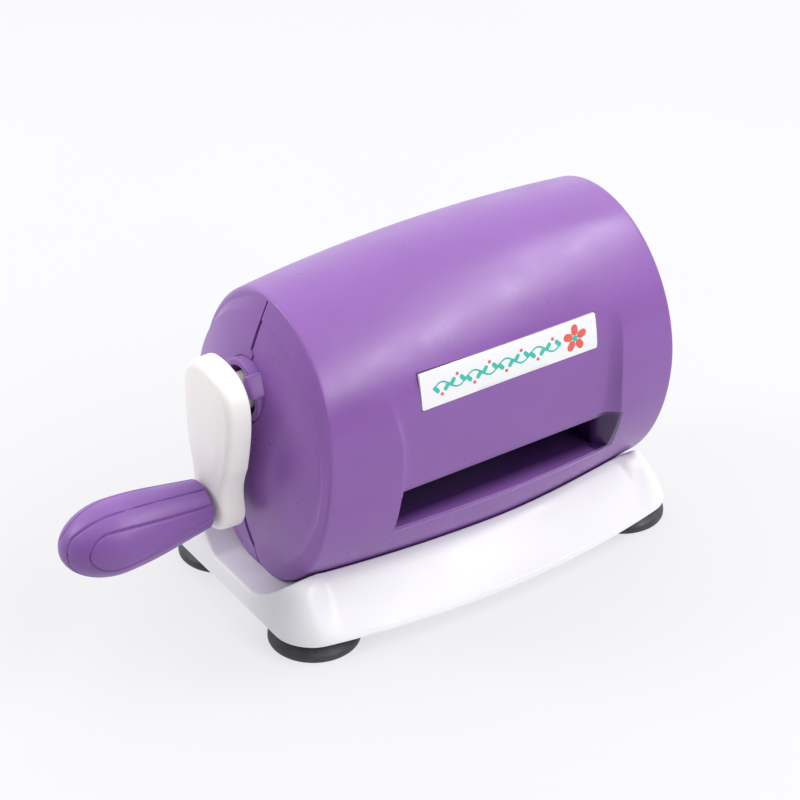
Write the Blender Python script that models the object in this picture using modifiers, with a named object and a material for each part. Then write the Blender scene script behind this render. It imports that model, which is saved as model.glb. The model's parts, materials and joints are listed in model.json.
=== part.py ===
"""Hand-cranked die cutting machine: a barrel housing in two half shells on a low base with suction feet.

Two steel rollers run in a pair of side plates inside the housing.  A crank on the left end turns a pinion,
the pinion turns the upper roller's gear, and a pair of equal gears turns the lower roller the other way.
A stack of cutting plates goes in at the front slot, through the rollers, and out at the rear slot.

Frame: X runs along the rollers with the crank at -X, the infeed side faces -Y, and Z is up.
The origin is on the table, below the middle of the machine's bounding box, handle included.
Sizes below are millimetres from the middle of the four feet; mesh() and place() turn them into metres.
"""

import math

import bmesh
import bpy
from mathutils import Matrix

MM = 0.001
GAP = 0.3            # clearance between pieces that touch on the real machine

CENTRE_X = 38.35     # moves the machine so that its bounding box is centred over the origin

# ---- housing: a barrel along X whose section is an oval, slimmer at the bottom towards the right ----
AXIS_Z = 86.0        # height of the widest level
HALF_WIDTH = 54.5
RISE = 61.0          # from the widest level to the top
DROP = 76.0          # from the widest level to the oval's lowest point
GIRTH = 1.057        # the section's scale where the barrel is fattest
FATTEST_X = 22.0
TAPER = 1e-5         # loss of girth per square millimetre away from FATTEST_X
LEFT_FULLNESS, RIGHT_FULLNESS = 2.21, 1.84    # the lower half's superellipse exponents at both ends
WALL = 2.6
HOUSING_BOTTOM = 15.3
TOP_Z = 145.0
LEFT_TOP_X, LEFT_LEAN = -77.5, 0.066     # the left end leans out towards its foot
RIGHT_TOP_X, RIGHT_LEAN = 92.0, 0.03
# The two closed ends as (share of the rim, bulge beyond it).
LEFT_DOME = ((0.975, 1.4), (0.93, 2.5), (0.88, 3.1), (0.615, 8.6), (0.35, 11.2))
RIGHT_DOME = ((0.975, 1.8), (0.93, 3.0), (0.6, 4.4), (0.3, 4.9))
DOME_CENTRE_Z = 80.0
LEFT_X, RIGHT_X = -80.0, 94.0     # the barrel's sections run between these, before the ends lean

# ---- flat panel and slot in the front and in the rear ----
PANEL_Y, PANEL_Z, PANEL_BEND = 52.6, 90.0, 240.0
PANEL_X = (-44.5, 58.5)
PANEL_FLARE = 6.0
PANEL_TOP = 128.0
SLOT_Z = (48.2, 65.5)
SLOT_X = (-45.5, 58.5)
SLOT_THROAT, SLOT_FLARE = 48.0, 0.75     # the slot's ends widen outwards from this distance to the middle
OUTSIDE_Y = 72.0                         # clear of the barrel on both sides
LABEL_X, LABEL_Z = (-37.0, 53.0), (103.3, 118.9)
LABEL_THICK, LABEL_PROUD = 1.2, 0.35

# ---- base ----
BASE_Z = (8.0, 29.5)
BASE_HALF_LENGTH = 102.0
BASE_HALF_WIDTH, BASE_BOW = 66.5, 11.5
BASE_CORNER = 14.0
BASE_END_LEAN = 6.0  # how far the short ends lean in from foot to rim
BASE_RIM = 2.2       # from the housing to the outside of the base's rim
DECK_TOP, DECK_THICK = 15.0, 2.5
CRADLE_TOP = 46.0
CRADLE_GAP = 1.5     # between the housing and the base around it
COVER_THICK = 1.8
FOOT_X, FOOT_Y, FOOT_RADIUS = 82.5, 38.0, 20.0
FOOT_NECK, FOOT_HOLE = 4.9, 5.3

# ---- roller frame and drive ----
CRANK_Z, UPPER_Z, LOWER_Z = 105.5, 75.5, 41.5
ROLLER_RADIUS, ROLLER_X = 13.0, (-54.5, 67.0)
JOURNAL_RADIUS = 6.0
PLATE_X, PLATE_THICK = (-58.0, 70.5), 3.0
DRIVE_GEAR_X, SYNC_GEAR_X, GEAR_WIDTH = -66.5, 79.0, 8.0
PINION_TEETH, DRIVE_TEETH, DRIVE_MODULE = 12, 28, 1.5
SYNC_TEETH, SYNC_MODULE = 20, 1.7
ROLLER_LEFT_END = {"upper": -73.5, "lower": -64.5}
ROLLER_RIGHT_END = 86.0
ROLLER_CLIPS = {"upper": (-71.6, 84.0), "lower": (-62.6, 84.0)}
PLATE_HALF = ((10.5, 15.3), (17.5, 19.5), (25, 24.5), (34, 37), (34, 100), (26, 120), (18, 124))
FLANGE_REACH, FLANGE_TOP = 13.0, 18.3
TIE_Y, TIE_Z = 26.0, 110.0
TIE_RADIUS, TIE_STUD = 4.5, 2.5
CHUTE_Y, CHUTE_THICK, CHUTE_WALL = (14.0, 42.0), 2.5, 8.0
SHAFT_RADIUS = 5.0
BUSH_WALL, BUSH_FLANGE, FLANGE_THICK = 2.5, 2.0, 1.4

# ---- crank and handle ----
COLLAR_RADIUS, COLLAR_BORE = 14.2, 11.0
COLLAR_X = (-79.5, -92.0)
LUG_X, LUG_Y, LUG_Z = (-94.6, -84.0), (-15.0, -8.5), (CRANK_Z + 2.5, CRANK_Z + 11.0)
CRANK_REACH = 48.0
ARM_X = (-99.3, -111.3)
ARM_LAYERS = ((0.0, 1.0), (-1.0, 0.0), (-7.5, 0.6), (-9.8, 2.0), (-11.2, 4.2), (-12.0, 7.6))   # (x, inset)
ARM_HUB_RADIUS, ARM_HUB_TOP, ARM_TIP_RADIUS = 21.5, 18.3, 13.8
ARM_REAR_SHARE = 0.22   # how much flatter the hub is on its rear side
ARM_SLEEVE_RADIUS, ARM_SLEEVE_END = 8.0, -85.0
SHAFT_X = (-105.8, -53.0)
SHAFT_CLIP_X = -55.2
PIN_RADIUS, PIN_REACH, PIN_X = 1.5, 7.2, -88.6
HANDLE_Z = CRANK_Z - CRANK_REACH
HANDLE_X = (-112.6, -178.4)
HANDLE_NECK, HANDLE_BULB, HANDLE_TAPER = 10.8, 16.0, 10.2
HANDLE_ROUND = 0.38     # the share of the handle's length that its blunt end takes
SPINDLE_RADIUS = 3.5
SLEEVE_WALL = 2.2

# ---- screws ----
PILOT, CLEARANCE = 1.9, 2.0     # bores that a screw cuts into, and bores that it passes through
BOSS_RADIUS, TOP_BOSS_RADIUS, COVER_BOSS_RADIUS = 5.0, 4.5, 4.0
TOP_SCREW_X, TOP_SCREW_Z = (-40.0, 52.0), 131.0
TOP_SCREW_SEAT, TOP_WELL_RADIUS = 12.0, 3.8
HOUSING_SCREWS = ((-76.0, -8.0), (-76.0, 8.0), (89.0, -11.0), (89.0, 11.0))
FRAME_SCREWS = ((-50.0, -8.0), (-50.0, 8.0), (62.5, -8.0), (62.5, 8.0))
COVER_SCREWS = ((-52.0, -50.0), (52.0, -50.0), (-52.0, 50.0), (52.0, 50.0))

COLOURS = {
    "purple_plastic": ((0.29, 0.11, 0.52), 0.38, 0.0),
    "white_plastic": ((0.86, 0.85, 0.88), 0.35, 0.0),
    "arm_plastic": ((0.84, 0.82, 0.79), 0.4, 0.0),
    "foot_rubber": ((0.03, 0.03, 0.035), 0.6, 0.0),
    "roller_steel": ((0.62, 0.62, 0.64), 0.25, 1.0),
    "plate_steel": ((0.42, 0.43, 0.45), 0.4, 1.0),
    "screw_steel": ((0.55, 0.55, 0.57), 0.3, 1.0),
    "gear_plastic": ((0.75, 0.73, 0.66), 0.45, 0.0),
    "bush_bronze": ((0.60, 0.42, 0.20), 0.35, 1.0),
}


# ------------------------------------------------------------------ scene, materials, helpers
def clear_scene():
    for obj in list(bpy.data.objects):
        bpy.data.objects.remove(obj)


def new_collection(name):
    group = bpy.data.collections.new(name)
    bpy.context.scene.collection.children.link(group)
    return group


def material(name):
    found = bpy.data.materials.get(name)
    if found:
        return found
    colour, roughness, metallic = COLOURS[name]
    made = bpy.data.materials.new(name)
    made.use_nodes = True
    shader = made.node_tree.nodes["Principled BSDF"]
    shader.inputs["Base Color"].default_value = (*colour, 1)
    shader.inputs["Roughness"].default_value = roughness
    shader.inputs["Metallic"].default_value = metallic
    return made


def world(at):
    return (MM * (at[0] + CENTRE_X), MM * at[1], MM * at[2])


def place(obj, finish=None, at=(0, 0, 0), parent=None):
    """Puts an object at a point given from the table's origin; finish None makes it a cutter."""
    group = parts if finish else cutters
    for other in list(obj.users_collection):
        other.objects.unlink(obj)
    group.objects.link(obj)
    home = parent.location if parent else (0, 0, 0)
    obj.location = [value - start for value, start in zip(world(at), home)]
    obj.parent = parent
    if finish:
        obj.data.materials.clear()
        obj.data.materials.append(material(finish))
    else:
        obj.hide_render = True
        obj.display_type = "WIRE"
    return obj


def mesh(name, work):
    """An object from a bmesh drawn in millimetres."""
    bmesh.ops.scale(work, vec=(MM, MM, MM), verts=work.verts)
    bmesh.ops.recalc_face_normals(work, faces=work.faces)
    data = bpy.data.meshes.new(name)
    work.to_mesh(data)
    work.free()
    data.shade_smooth()
    data.set_sharp_from_angle(angle=math.radians(35))
    return bpy.data.objects.new(name, data)


def loft(name, rings):
    """A closed skin over rings of (x, y, z) points, every ring with the same number of points."""
    work = bmesh.new()
    rows = [[work.verts.new(point) for point in ring] for ring in rings]
    count = len(rows[0])
    for low, high in zip(rows, rows[1:]):
        for i in range(count):
            j = (i + 1) % count
            work.faces.new((low[i], low[j], high[j], high[i]))
    work.faces.new(rows[0])
    work.faces.new(rows[-1])
    return mesh(name, work)


def box(name, x, y, z):
    work = bmesh.new()
    bmesh.ops.create_cube(work, size=1)
    spans = (x[1] - x[0], y[1] - y[0], z[1] - z[0])
    middle = ((x[0] + x[1]) / 2, (y[0] + y[1]) / 2, (z[0] + z[1]) / 2)
    bmesh.ops.scale(work, vec=spans, verts=work.verts)
    bmesh.ops.translate(work, vec=middle, verts=work.verts)
    return mesh(name, work)


AIM = {
    "X": Matrix.Rotation(math.pi / 2, 3, "Y"),
    "Y": Matrix.Rotation(-math.pi / 2, 3, "X"),
    "Z": Matrix.Identity(3),
}


def rod(name, radius, start, end, axis="X", sides=32, tip_radius=None):
    """A cylinder, or with tip_radius a cone, from start to end along an axis through the origin."""
    work = bmesh.new()
    tip = radius if tip_radius is None else tip_radius
    bmesh.ops.create_cone(
        work, cap_ends=True, segments=sides, radius1=radius, radius2=tip, depth=end - start,
    )
    bmesh.ops.translate(work, vec=(0, 0, (start + end) / 2), verts=work.verts)
    bmesh.ops.rotate(work, cent=(0, 0, 0), matrix=AIM[axis], verts=work.verts)
    return mesh(name, work)


def turned(name, profile, axis="X", sides=32):
    """A Screw modifier round the axis over (radius, place along it) points, outer side from far to near."""
    work = bmesh.new()
    points = [work.verts.new((radius, 0, along)) for radius, along in profile]
    for a, b in zip(points, points[1:]):
        work.edges.new((a, b))
    if profile[0][0] > 0:
        work.edges.new((points[-1], points[0]))
    data = bpy.data.meshes.new(name)
    bmesh.ops.scale(work, vec=(MM, MM, MM), verts=work.verts)
    work.to_mesh(data)
    work.free()
    obj = bpy.data.objects.new(name, data)
    spin = obj.modifiers.new("turn", "SCREW")
    spin.steps = spin.render_steps = sides
    spin.use_merge_vertices = True
    spin.merge_threshold = 0.00001
    spin.use_smooth_shade = True
    obj.rotation_euler = AIM[axis].to_euler()
    return obj


def tube_profile(outer, inner, start, end):
    return ((outer, end), (outer, start), (inner, start), (inner, end))


def flat(name, outline, thickness, holes=()):
    """A plate in the YZ plane, centred on x = 0: a filled 2D curve with round holes, made into a mesh."""
    curve = bpy.data.curves.new(name, "CURVE")
    curve.dimensions = "2D"
    curve.fill_mode = "BOTH"
    curve.extrude = thickness / 2 * MM
    rings = [outline] + [circle_points(y, z, radius, 20) for y, z, radius in holes]
    for ring in rings:
        spline = curve.splines.new("POLY")
        spline.points.add(len(ring) - 1)
        for point, (y, z) in zip(spline.points, ring):
            point.co = (y * MM, z * MM, 0, 1)
        spline.use_cyclic_u = True
    drawn = bpy.data.objects.new(name + "_outline", curve)
    bpy.context.scene.collection.objects.link(drawn)
    graph = bpy.context.evaluated_depsgraph_get()
    data = bpy.data.meshes.new_from_object(drawn.evaluated_get(graph))
    bpy.data.objects.remove(drawn)
    work = bmesh.new()
    work.from_mesh(data)
    bmesh.ops.remove_doubles(work, verts=work.verts, dist=1e-6)
    # The curve's own x, y and z become the machine's y, z and x.
    turn = Matrix(((0, 0, 1), (1, 0, 0), (0, 1, 0)))
    bmesh.ops.transform(work, matrix=turn.to_4x4(), verts=work.verts)
    bmesh.ops.recalc_face_normals(work, faces=work.faces)
    work.to_mesh(data)
    work.free()
    return bpy.data.objects.new(name, data)


def circle_points(y, z, radius, count):
    turn = 2 * math.pi / count
    return [(y + radius * math.cos(i * turn), z + radius * math.sin(i * turn)) for i in range(count)]


def boolean(target, tool, operation="DIFFERENCE"):
    step = target.modifiers.new(operation.lower(), "BOOLEAN")
    step.object = tool
    step.operation = operation
    return target


def cutter(obj, at=(0, 0, 0)):
    return place(obj, at=at)


def joint_empty(name, at):
    empty = bpy.data.objects.new(name, None)
    empty.location = world(at)
    parts.objects.link(empty)
    return empty


# ------------------------------------------------------------------ the housing's shape
def smooth(share):
    share = min(1.0, max(0.0, share))
    return share * share * (3 - 2 * share)


def girth(x):
    return GIRTH - TAPER * (x - FATTEST_X) ** 2


def fullness(x):
    """The lower half's superellipse exponent: 2 is an ellipse, less is more pointed."""
    return LEFT_FULLNESS + (RIGHT_FULLNESS - LEFT_FULLNESS) * smooth(x / RIGHT_X)


def half_width(x, z, offset=0.0):
    """Half the housing's width at x and z, with its skin moved outwards by offset."""
    scale = girth(x)
    wide = HALF_WIDTH * scale + offset
    power = 2.0 if z > AXIS_Z else fullness(x)
    tall = (RISE if z > AXIS_Z else DROP) * scale + offset
    share = min(1.0, abs(z - AXIS_Z) / tall)
    return wide * (1 - share**power) ** (1 / power)


def section(x, offset, bottom, arc=10, side=8):
    """The right half's (y, z) points from the top down to bottom, then the left half's back up."""
    top = RISE * girth(x) + offset
    wide = HALF_WIDTH * girth(x) + offset
    half = []
    for i in range(arc):
        angle = math.pi / 2 * i / arc
        half.append((wide * math.sin(angle), AXIS_Z + top * math.cos(angle)))
    for i in range(side + 1):
        z = AXIS_Z - (AXIS_Z - bottom) * math.sin(math.pi / 2 * i / side)
        half.append((half_width(x, z, offset), z))
    return half + [(-y, z) for y, z in reversed(half[1:])]


def left_rim_x(z):
    return LEFT_TOP_X - (TOP_Z - z) * LEFT_LEAN


def right_rim_x(z):
    return RIGHT_TOP_X + (TOP_Z - z) * RIGHT_LEAN


def barrel(name, offset, bottom, stations, arc, side):
    """The housing as a closed solid, its skin moved outwards by offset, open space above bottom only."""
    rings = []
    for share, bulge in reversed(LEFT_DOME):
        rings.append(dome_ring(left_rim_x, -bulge - offset, share, offset, bottom, LEFT_X, arc, side))
    for i in range(stations + 1):
        along = i / stations
        x = LEFT_X + along * (RIGHT_X - LEFT_X)
        ring = []
        for y, z in section(x, offset, bottom, arc, side):
            left, right = left_rim_x(z) - offset, right_rim_x(z) + offset
            ring.append((left + along * (right - left), y, z))
        rings.append(ring)
    for share, bulge in RIGHT_DOME:
        rings.append(dome_ring(right_rim_x, bulge + offset, share, offset, bottom, RIGHT_X, arc, side))
    return loft(name, rings)


def dome_ring(rim_x, bulge, share, offset, bottom, x, arc, side):
    ring = []
    for y, z in section(x, offset, bottom, arc, side):
        lifted = DOME_CENTRE_Z + share * (z - DOME_CENTRE_Z)
        ring.append((rim_x(lifted) + bulge, share * y, lifted))
    return ring


def panel_y(z):
    """How far the flat panel stands from the middle plane; it bends gently back at both ends."""
    return PANEL_Y - (z - PANEL_Z) ** 2 / PANEL_BEND


def panel_cutter(name, side, deeper=0.0):
    """What the panel removes from the barrel, on the front (side -1) or the rear (side 1)."""
    bottom = SLOT_Z[1] - deeper
    rings = []
    for i in range(7):
        z = bottom + (PANEL_TOP - bottom) * i / 6
        inner = panel_y(z) - deeper
        spread = PANEL_FLARE * (OUTSIDE_Y - inner) / 6.5
        near = (PANEL_X[0] - deeper, PANEL_X[1] + deeper)
        rings.append([
            (near[0], side * inner, z),
            (near[1], side * inner, z),
            (near[1] + spread, side * OUTSIDE_Y, z),
            (near[0] - spread, side * OUTSIDE_Y, z),
        ])
    return loft(name, rings)


def slot_cutter(name, side):
    """The slot: straight through the wall, flaring at both ends towards the outside."""
    rings = []
    for depth in (SLOT_THROAT - 10, SLOT_THROAT, OUTSIDE_Y):
        spread = (depth - SLOT_THROAT) * SLOT_FLARE if depth > SLOT_THROAT else 0.0
        low, high = SLOT_X[0] - spread, SLOT_X[1] + spread
        corners = ((low, SLOT_Z[0]), (high, SLOT_Z[0]), (high, SLOT_Z[1] + 0.01), (low, SLOT_Z[1] + 0.01))
        rings.append([(x, side * depth, z) for x, z in corners])
    return loft(name, rings)


def label_solid(name, side, grow=0.0):
    """The label plate, or with grow its pocket: a thin slab that follows the panel."""
    rings = []
    for i in range(5):
        z = LABEL_Z[0] - grow + (LABEL_Z[1] - LABEL_Z[0] + 2 * grow) * i / 4
        outer = side * (panel_y(z) + LABEL_PROUD + (8 if grow else 0))
        inner = side * (panel_y(z) + LABEL_PROUD - LABEL_THICK - grow)
        low, high = LABEL_X[0] - grow, LABEL_X[1] + grow
        rings.append([(low, inner, z), (high, inner, z), (high, outer, z), (low, outer, z)])
    return loft(name, rings)


# ------------------------------------------------------------------ housing
def build_housing():
    hollow = cutter(barrel("housing_hollow", -WALL, HOUSING_BOTTOM - 6, 6, 7, 5))
    for side, face in ((-1, "front"), (1, "rear")):
        boolean(hollow, cutter(panel_cutter(f"{face}_panel_backing", side, WALL)))
    collar_hole = cutter(rod("collar_hole", COLLAR_RADIUS + GAP, -110, -70), at=(0, 0, CRANK_Z))
    for side, face in ((-1, "front"), (1, "rear")):
        shell = place(barrel(f"{face}_shell", 0.0, HOUSING_BOTTOM, 7, 8, 6), "purple_plastic")
        boolean(shell, cutter(panel_cutter(f"{face}_panel_cut", side)))
        boolean(shell, hollow)
        boolean(shell, cutter(slot_cutter(f"{face}_slot_cut", side)))
        boolean(shell, collar_hole)
        reach = (GAP / 2, 90) if side > 0 else (-90, -GAP / 2)
        boolean(shell, cutter(box(f"{face}_half", (-130, 130), reach, (0, 170))), "INTERSECT")
        add_shell_bosses(shell, side, face)
    pocket = cutter(label_solid("label_pocket", -1, GAP))
    boolean(bpy.data.objects["front_shell"], pocket)
    place(label_solid("label_plate", -1), "white_plastic")


def add_shell_bosses(shell, side, face):
    """Two long bosses near the top that join the shells, and two standing ones for the base's screws."""
    for x, end in ((TOP_SCREW_X[0], "left"), (TOP_SCREW_X[1], "right")):
        post = rod(f"{face}_{end}_top_boss", TOP_BOSS_RADIUS, GAP / 2, 34, "Y", 12)
        at = (x, 0, TOP_SCREW_Z)
        if side < 0:
            post.rotation_euler = (0, 0, math.pi)
        boolean(shell, cutter(post, at), "UNION")
        bore_start, bore_end = (-12, 5) if side < 0 else (-5, 60)
        boolean(shell, cutter(rod(f"{face}_{end}_top_bore", PILOT, bore_start, bore_end, "Y", 8), at))
        if side > 0:
            well = rod(f"{face}_{end}_top_well", TOP_WELL_RADIUS, TOP_SCREW_SEAT, 60, "Y", 12)
            boolean(shell, cutter(well, at))
    for x, y in HOUSING_SCREWS:
        if y * side < 0:
            continue
        name = f"{face}_{'left' if x < 0 else 'right'}_foot"
        post = rod(name + "_boss", BOSS_RADIUS, HOUSING_BOTTOM + 0.2, 28, "Z", 12)
        boolean(shell, cutter(post, (x, y, 0)), "UNION")
        boolean(shell, cutter(rod(name + "_bore", PILOT, 10, 25, "Z", 8), (x, y, 0)))


# ------------------------------------------------------------------ base
def base_outline(z, inset=0.0):
    """The base's plan at height z: long sides bowed outwards, short sides straight, corners rounded."""
    share = max(0.0, (z - BASE_Z[0]) / (BASE_Z[1] - BASE_Z[0]))
    length = BASE_HALF_LENGTH - BASE_END_LEAN * share - inset

    def side_y(x):
        low = BASE_HALF_WIDTH - BASE_BOW * (x / 95) ** 2
        high = half_width(max(LEFT_X, min(RIGHT_X, x)), BASE_Z[1]) + BASE_RIM
        ease = share**1.15
        return low + (high - low) * ease - inset

    corner = BASE_CORNER - inset * 0.6
    points = []
    for x_sign, y_sign in ((1, 1), (-1, 1), (-1, -1), (1, -1)):
        reach = length - 0.8 * corner
        slope = (side_y(x_sign * reach) - side_y(x_sign * (reach - 1)))
        lean = math.atan(-slope)
        centre_x = reach - corner * math.sin(lean)
        centre_y = side_y(x_sign * reach) - corner * math.cos(lean)
        arc = []
        for i in range(5):
            angle = (math.pi / 2 - lean) * i / 4
            x, y = centre_x + corner * math.cos(angle), centre_y + corner * math.sin(angle)
            arc.append((x_sign * x, y_sign * y))
        places = [x_sign * reach * (1 - i / 4) for i in range(1, 4)]
        long_side = [(x, y_sign * side_y(x)) for x in places]
        run = arc + long_side
        if x_sign * y_sign < 0:
            run.reverse()
        elif x_sign > 0:
            run.append((0, side_y(0)))
        else:
            run.append((0, -side_y(0)))
        points += run
    return points


def base_solid(name, levels, inset=0.0):
    return loft(name, [[(x, y, z) for x, y in base_outline(z, inset)] for z in levels])


def cradle(name, offset, floor):
    """The room the housing needs in the base: its lower sections, carried straight on past both ends."""
    rings = []
    levels = [floor + (CRADLE_TOP - floor) * (i / 7) ** 1.4 for i in range(8)]
    places = [(LEFT_X + (RIGHT_X - LEFT_X) * i / 6,) * 2 for i in range(7)]
    for x, shape_x in [(-118, LEFT_X)] + places + [(118, RIGHT_X)]:
        half = [(half_width(shape_x, z, offset), z) for z in levels]
        ring = half[::-1] + [(-y, z) for y, z in half]
        rings.append([(x, y, z) for y, z in ring])
    return loft(name, rings)


def build_base():
    low, high = BASE_Z
    shell = place(base_solid("base_shell", (low, low + 1.5, 13, 21, high)), "white_plastic")
    boolean(shell, cutter(cradle("housing_cradle", CRADLE_GAP, DECK_TOP)))
    hollow = cutter(base_solid("base_hollow", (low - 2, low, low + 2.2, 13, 20, high - WALL), WALL))
    boolean(hollow, cutter(cradle("cradle_backing", CRADLE_GAP + WALL, DECK_TOP - DECK_THICK)))
    boolean(shell, hollow)
    for index, (x, y) in enumerate(COVER_SCREWS):
        post = cutter(rod(f"cover_boss_{index}", COVER_BOSS_RADIUS, 10.6, 19, "Z", 12), (x, y, 0))
        boolean(shell, post, "UNION")
        boolean(shell, cutter(rod(f"cover_bore_{index}", PILOT, 5, 17, "Z", 8), (x, y, 0)))
    for index, (x, y) in enumerate(HOUSING_SCREWS + FRAME_SCREWS):
        boolean(shell, cutter(rod(f"deck_hole_{index}", CLEARANCE, 5, 18, "Z", 10), (x, y, 0)))
    cover_levels = (low + 0.4, low + 0.4 + COVER_THICK)
    cover = place(base_solid("bottom_cover", cover_levels, WALL + GAP), "white_plastic")
    for index, (x, y) in enumerate(COVER_SCREWS):
        boolean(cover, cutter(rod(f"cover_hole_{index}", CLEARANCE, 5, 12, "Z", 10), (x, y, 0)))
    for x_sign, end in ((-1, "left"), (1, "right")):
        for y_sign, face in ((-1, "front"), (1, "rear")):
            at = (x_sign * FOOT_X, y_sign * FOOT_Y, 0)
            boolean(cover, cutter(rod(f"{face}_{end}_foot_hole", FOOT_HOLE, 5, 12, "Z", 20), at))
            place(foot(f"{face}_{end}_foot"), "foot_rubber", at)


def foot(name):
    """A flared suction cup with a flat rim, a hollow below, and a waisted plug that snaps into the cover."""
    profile = (
        (0, 13.2), (5.0, 13.2), (6.2, 10.7), (FOOT_NECK, 10.5), (FOOT_NECK, 7.8), (15.0, 7.6),
        (FOOT_RADIUS, 3.0), (FOOT_RADIUS, 0.0), (16.5, 0.0), (0, 3.4),
    )
    return turned(name, profile, "Z", 28)


# ------------------------------------------------------------------ roller frame
def screw(name, length, head=3.5):
    """A pan head screw pointing up its axis, its head below zero."""
    profile = (
        (0, length), (1.5, length - 1.0), (1.5, 0), (head, 0), (head, -1.1), (head * 0.6, -1.9), (0, -1.9),
    )
    return turned(name, profile, "Z", 10)


def build_frame():
    outline = list(PLATE_HALF) + [(-y, z) for y, z in reversed(PLATE_HALF)]
    bush = JOURNAL_RADIUS + BUSH_WALL + GAP
    tie_hole = TIE_STUD + GAP
    for index, end in enumerate(("left", "right")):
        holes = [(0, UPPER_Z, bush), (0, LOWER_Z, bush), (-TIE_Y, TIE_Z, tie_hole), (TIE_Y, TIE_Z, tie_hole)]
        if end == "left":
            holes.append((0, CRANK_Z, SHAFT_RADIUS + BUSH_WALL + GAP))
        plate = flat(f"{end}_side_plate", outline, PLATE_THICK, holes)
        place(plate, "plate_steel", (PLATE_X[index], 0, 0))
        inward = 1 if end == "left" else -1
        edge = PLATE_X[index] + inward * (PLATE_THICK / 2 - 1)
        span = sorted((edge, edge + inward * FLANGE_REACH))
        half, bottom = PLATE_HALF[0]
        flange = box(f"{end}_flange", span, (-half, half), (bottom, FLANGE_TOP))
        boolean(plate, cutter(flange), "UNION")
    for index, (x, y) in enumerate(FRAME_SCREWS):
        plate = bpy.data.objects["left_side_plate" if x < 0 else "right_side_plate"]
        boolean(plate, cutter(rod(f"flange_hole_{index}", PILOT, 10, 25, "Z", 8), (x, y, 0)))
    for index, end in enumerate(("left", "right")):
        outward = -1 if end == "left" else 1
        for level, z in (("upper", UPPER_Z), ("lower", LOWER_Z)):
            name = f"{level}_{end}_bushing"
            bushing(name, JOURNAL_RADIUS, (PLATE_X[index], 0, z), outward)
    bushing("crank_bushing", SHAFT_RADIUS, (PLATE_X[0], 0, CRANK_Z), -1)
    build_ties()
    build_chutes()


def bushing(name, bore, at, outward):
    """A flanged bush through a side plate, its flange on the gear side."""
    outer, inner = bore + BUSH_WALL, bore + GAP
    half = PLATE_THICK / 2
    flange = outer + BUSH_FLANGE
    near, far = half + GAP, half + GAP + FLANGE_THICK
    profile = (
        (outer, -half + 0.1), (inner, -half + 0.1), (inner, far),
        (flange, far), (flange, near), (outer, near),
    )
    obj = place(turned(name, profile, "X", 20), "bush_bronze", at)
    if outward < 0:
        obj.rotation_euler = (0, -math.pi / 2, 0)
    return obj


def build_ties():
    start, end = PLATE_X[0] + PLATE_THICK / 2 + GAP, PLATE_X[1] - PLATE_THICK / 2 - GAP
    stub = 7.5
    for y, face in ((-TIE_Y, "front"), (TIE_Y, "rear")):
        profile = (
            (0, end + stub), (TIE_STUD, end + stub), (TIE_STUD, end), (TIE_RADIUS, end),
            (TIE_RADIUS, start), (TIE_STUD, start), (TIE_STUD, start - stub), (0, start - stub),
        )
        place(turned(f"{face}_tie_rod", profile, "X", 14), "screw_steel", (0, y, TIE_Z))
        for x, side in ((start - PLATE_THICK - 2 * GAP, "left"), (end + PLATE_THICK + 2 * GAP, "right")):
            outward = -1 if side == "left" else 1
            bore = (0, 0, TIE_STUD + GAP)
            nut = flat(f"{face}_{side}_tie_nut", circle_points(0, 0, 4.6, 6), 3.0, (bore,))
            place(nut, "screw_steel", (x + outward * 1.5, y, TIE_Z))


def build_chutes():
    """A floor with two low side walls, between each slot and the rollers."""
    left, right = PLATE_X[0] + PLATE_THICK / 2 + GAP, PLATE_X[1] - PLATE_THICK / 2 - GAP
    floor_top = SLOT_Z[0] - 0.2
    for side, face in ((-1, "front"), (1, "rear")):
        span = sorted((side * CHUTE_Y[0], side * CHUTE_Y[1]))
        chute = box(f"{face}_feed_chute", (left, right), span, (floor_top - CHUTE_THICK, floor_top))
        place(chute, "purple_plastic")
        for x, end in ((SLOT_X[0] - 3, "left"), (SLOT_X[1] + 1, "right")):
            height = (floor_top - 1, floor_top + CHUTE_WALL)
            wall = box(f"{face}_{end}_chute_wall", (x, x + 2), span, height)
            boolean(chute, cutter(wall), "UNION")


# ------------------------------------------------------------------ gears and rollers
def gear_outline(teeth, module, phase, slack=0.10):
    """A spur gear's (y, z) outline: involute flanks over a stub tooth, thinned by slack on each side."""
    pressure = math.radians(20)
    pitch = teeth * module / 2
    base = pitch * math.cos(pressure)
    tip, root = pitch + 0.8 * module, pitch - 1.15 * module
    pitch_half = math.pi / (2 * teeth) - slack / pitch
    spread = math.tan(pressure) - pressure

    def flank_angle(radius):
        if radius <= base:
            return pitch_half + spread
        turn = math.acos(base / radius)
        return pitch_half + spread - (math.tan(turn) - turn)

    start = max(base, root + 0.2)
    flank = (root, start, start + (tip - start) * 0.55, tip)
    points = []
    for tooth in range(teeth):
        middle = phase + 2 * math.pi * tooth / teeth
        side = [(radius, flank_angle(radius)) for radius in flank]
        for radius, angle in side:
            points.append((radius * math.cos(middle - angle), radius * math.sin(middle - angle)))
        for radius, angle in reversed(side):
            points.append((radius * math.cos(middle + angle), radius * math.sin(middle + angle)))
    return points


def gear(name, teeth, module, bore, up_is_tooth, finish, at, parent):
    """A gear facing along X whose tooth, or whose gap, stands straight up."""
    phase = math.pi / 2 + (0 if up_is_tooth else math.pi / teeth)
    body = flat(name, gear_outline(teeth, module, phase), GEAR_WIDTH, ((0, 0, bore + GAP),))
    return place(body, finish, at, parent)


def clip(name, bore, at, parent):
    ring = turned(name, tube_profile(bore + 2.6, bore + GAP, -0.5, 0.5), "X", 16)
    return place(ring, "screw_steel", at, parent)


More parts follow.
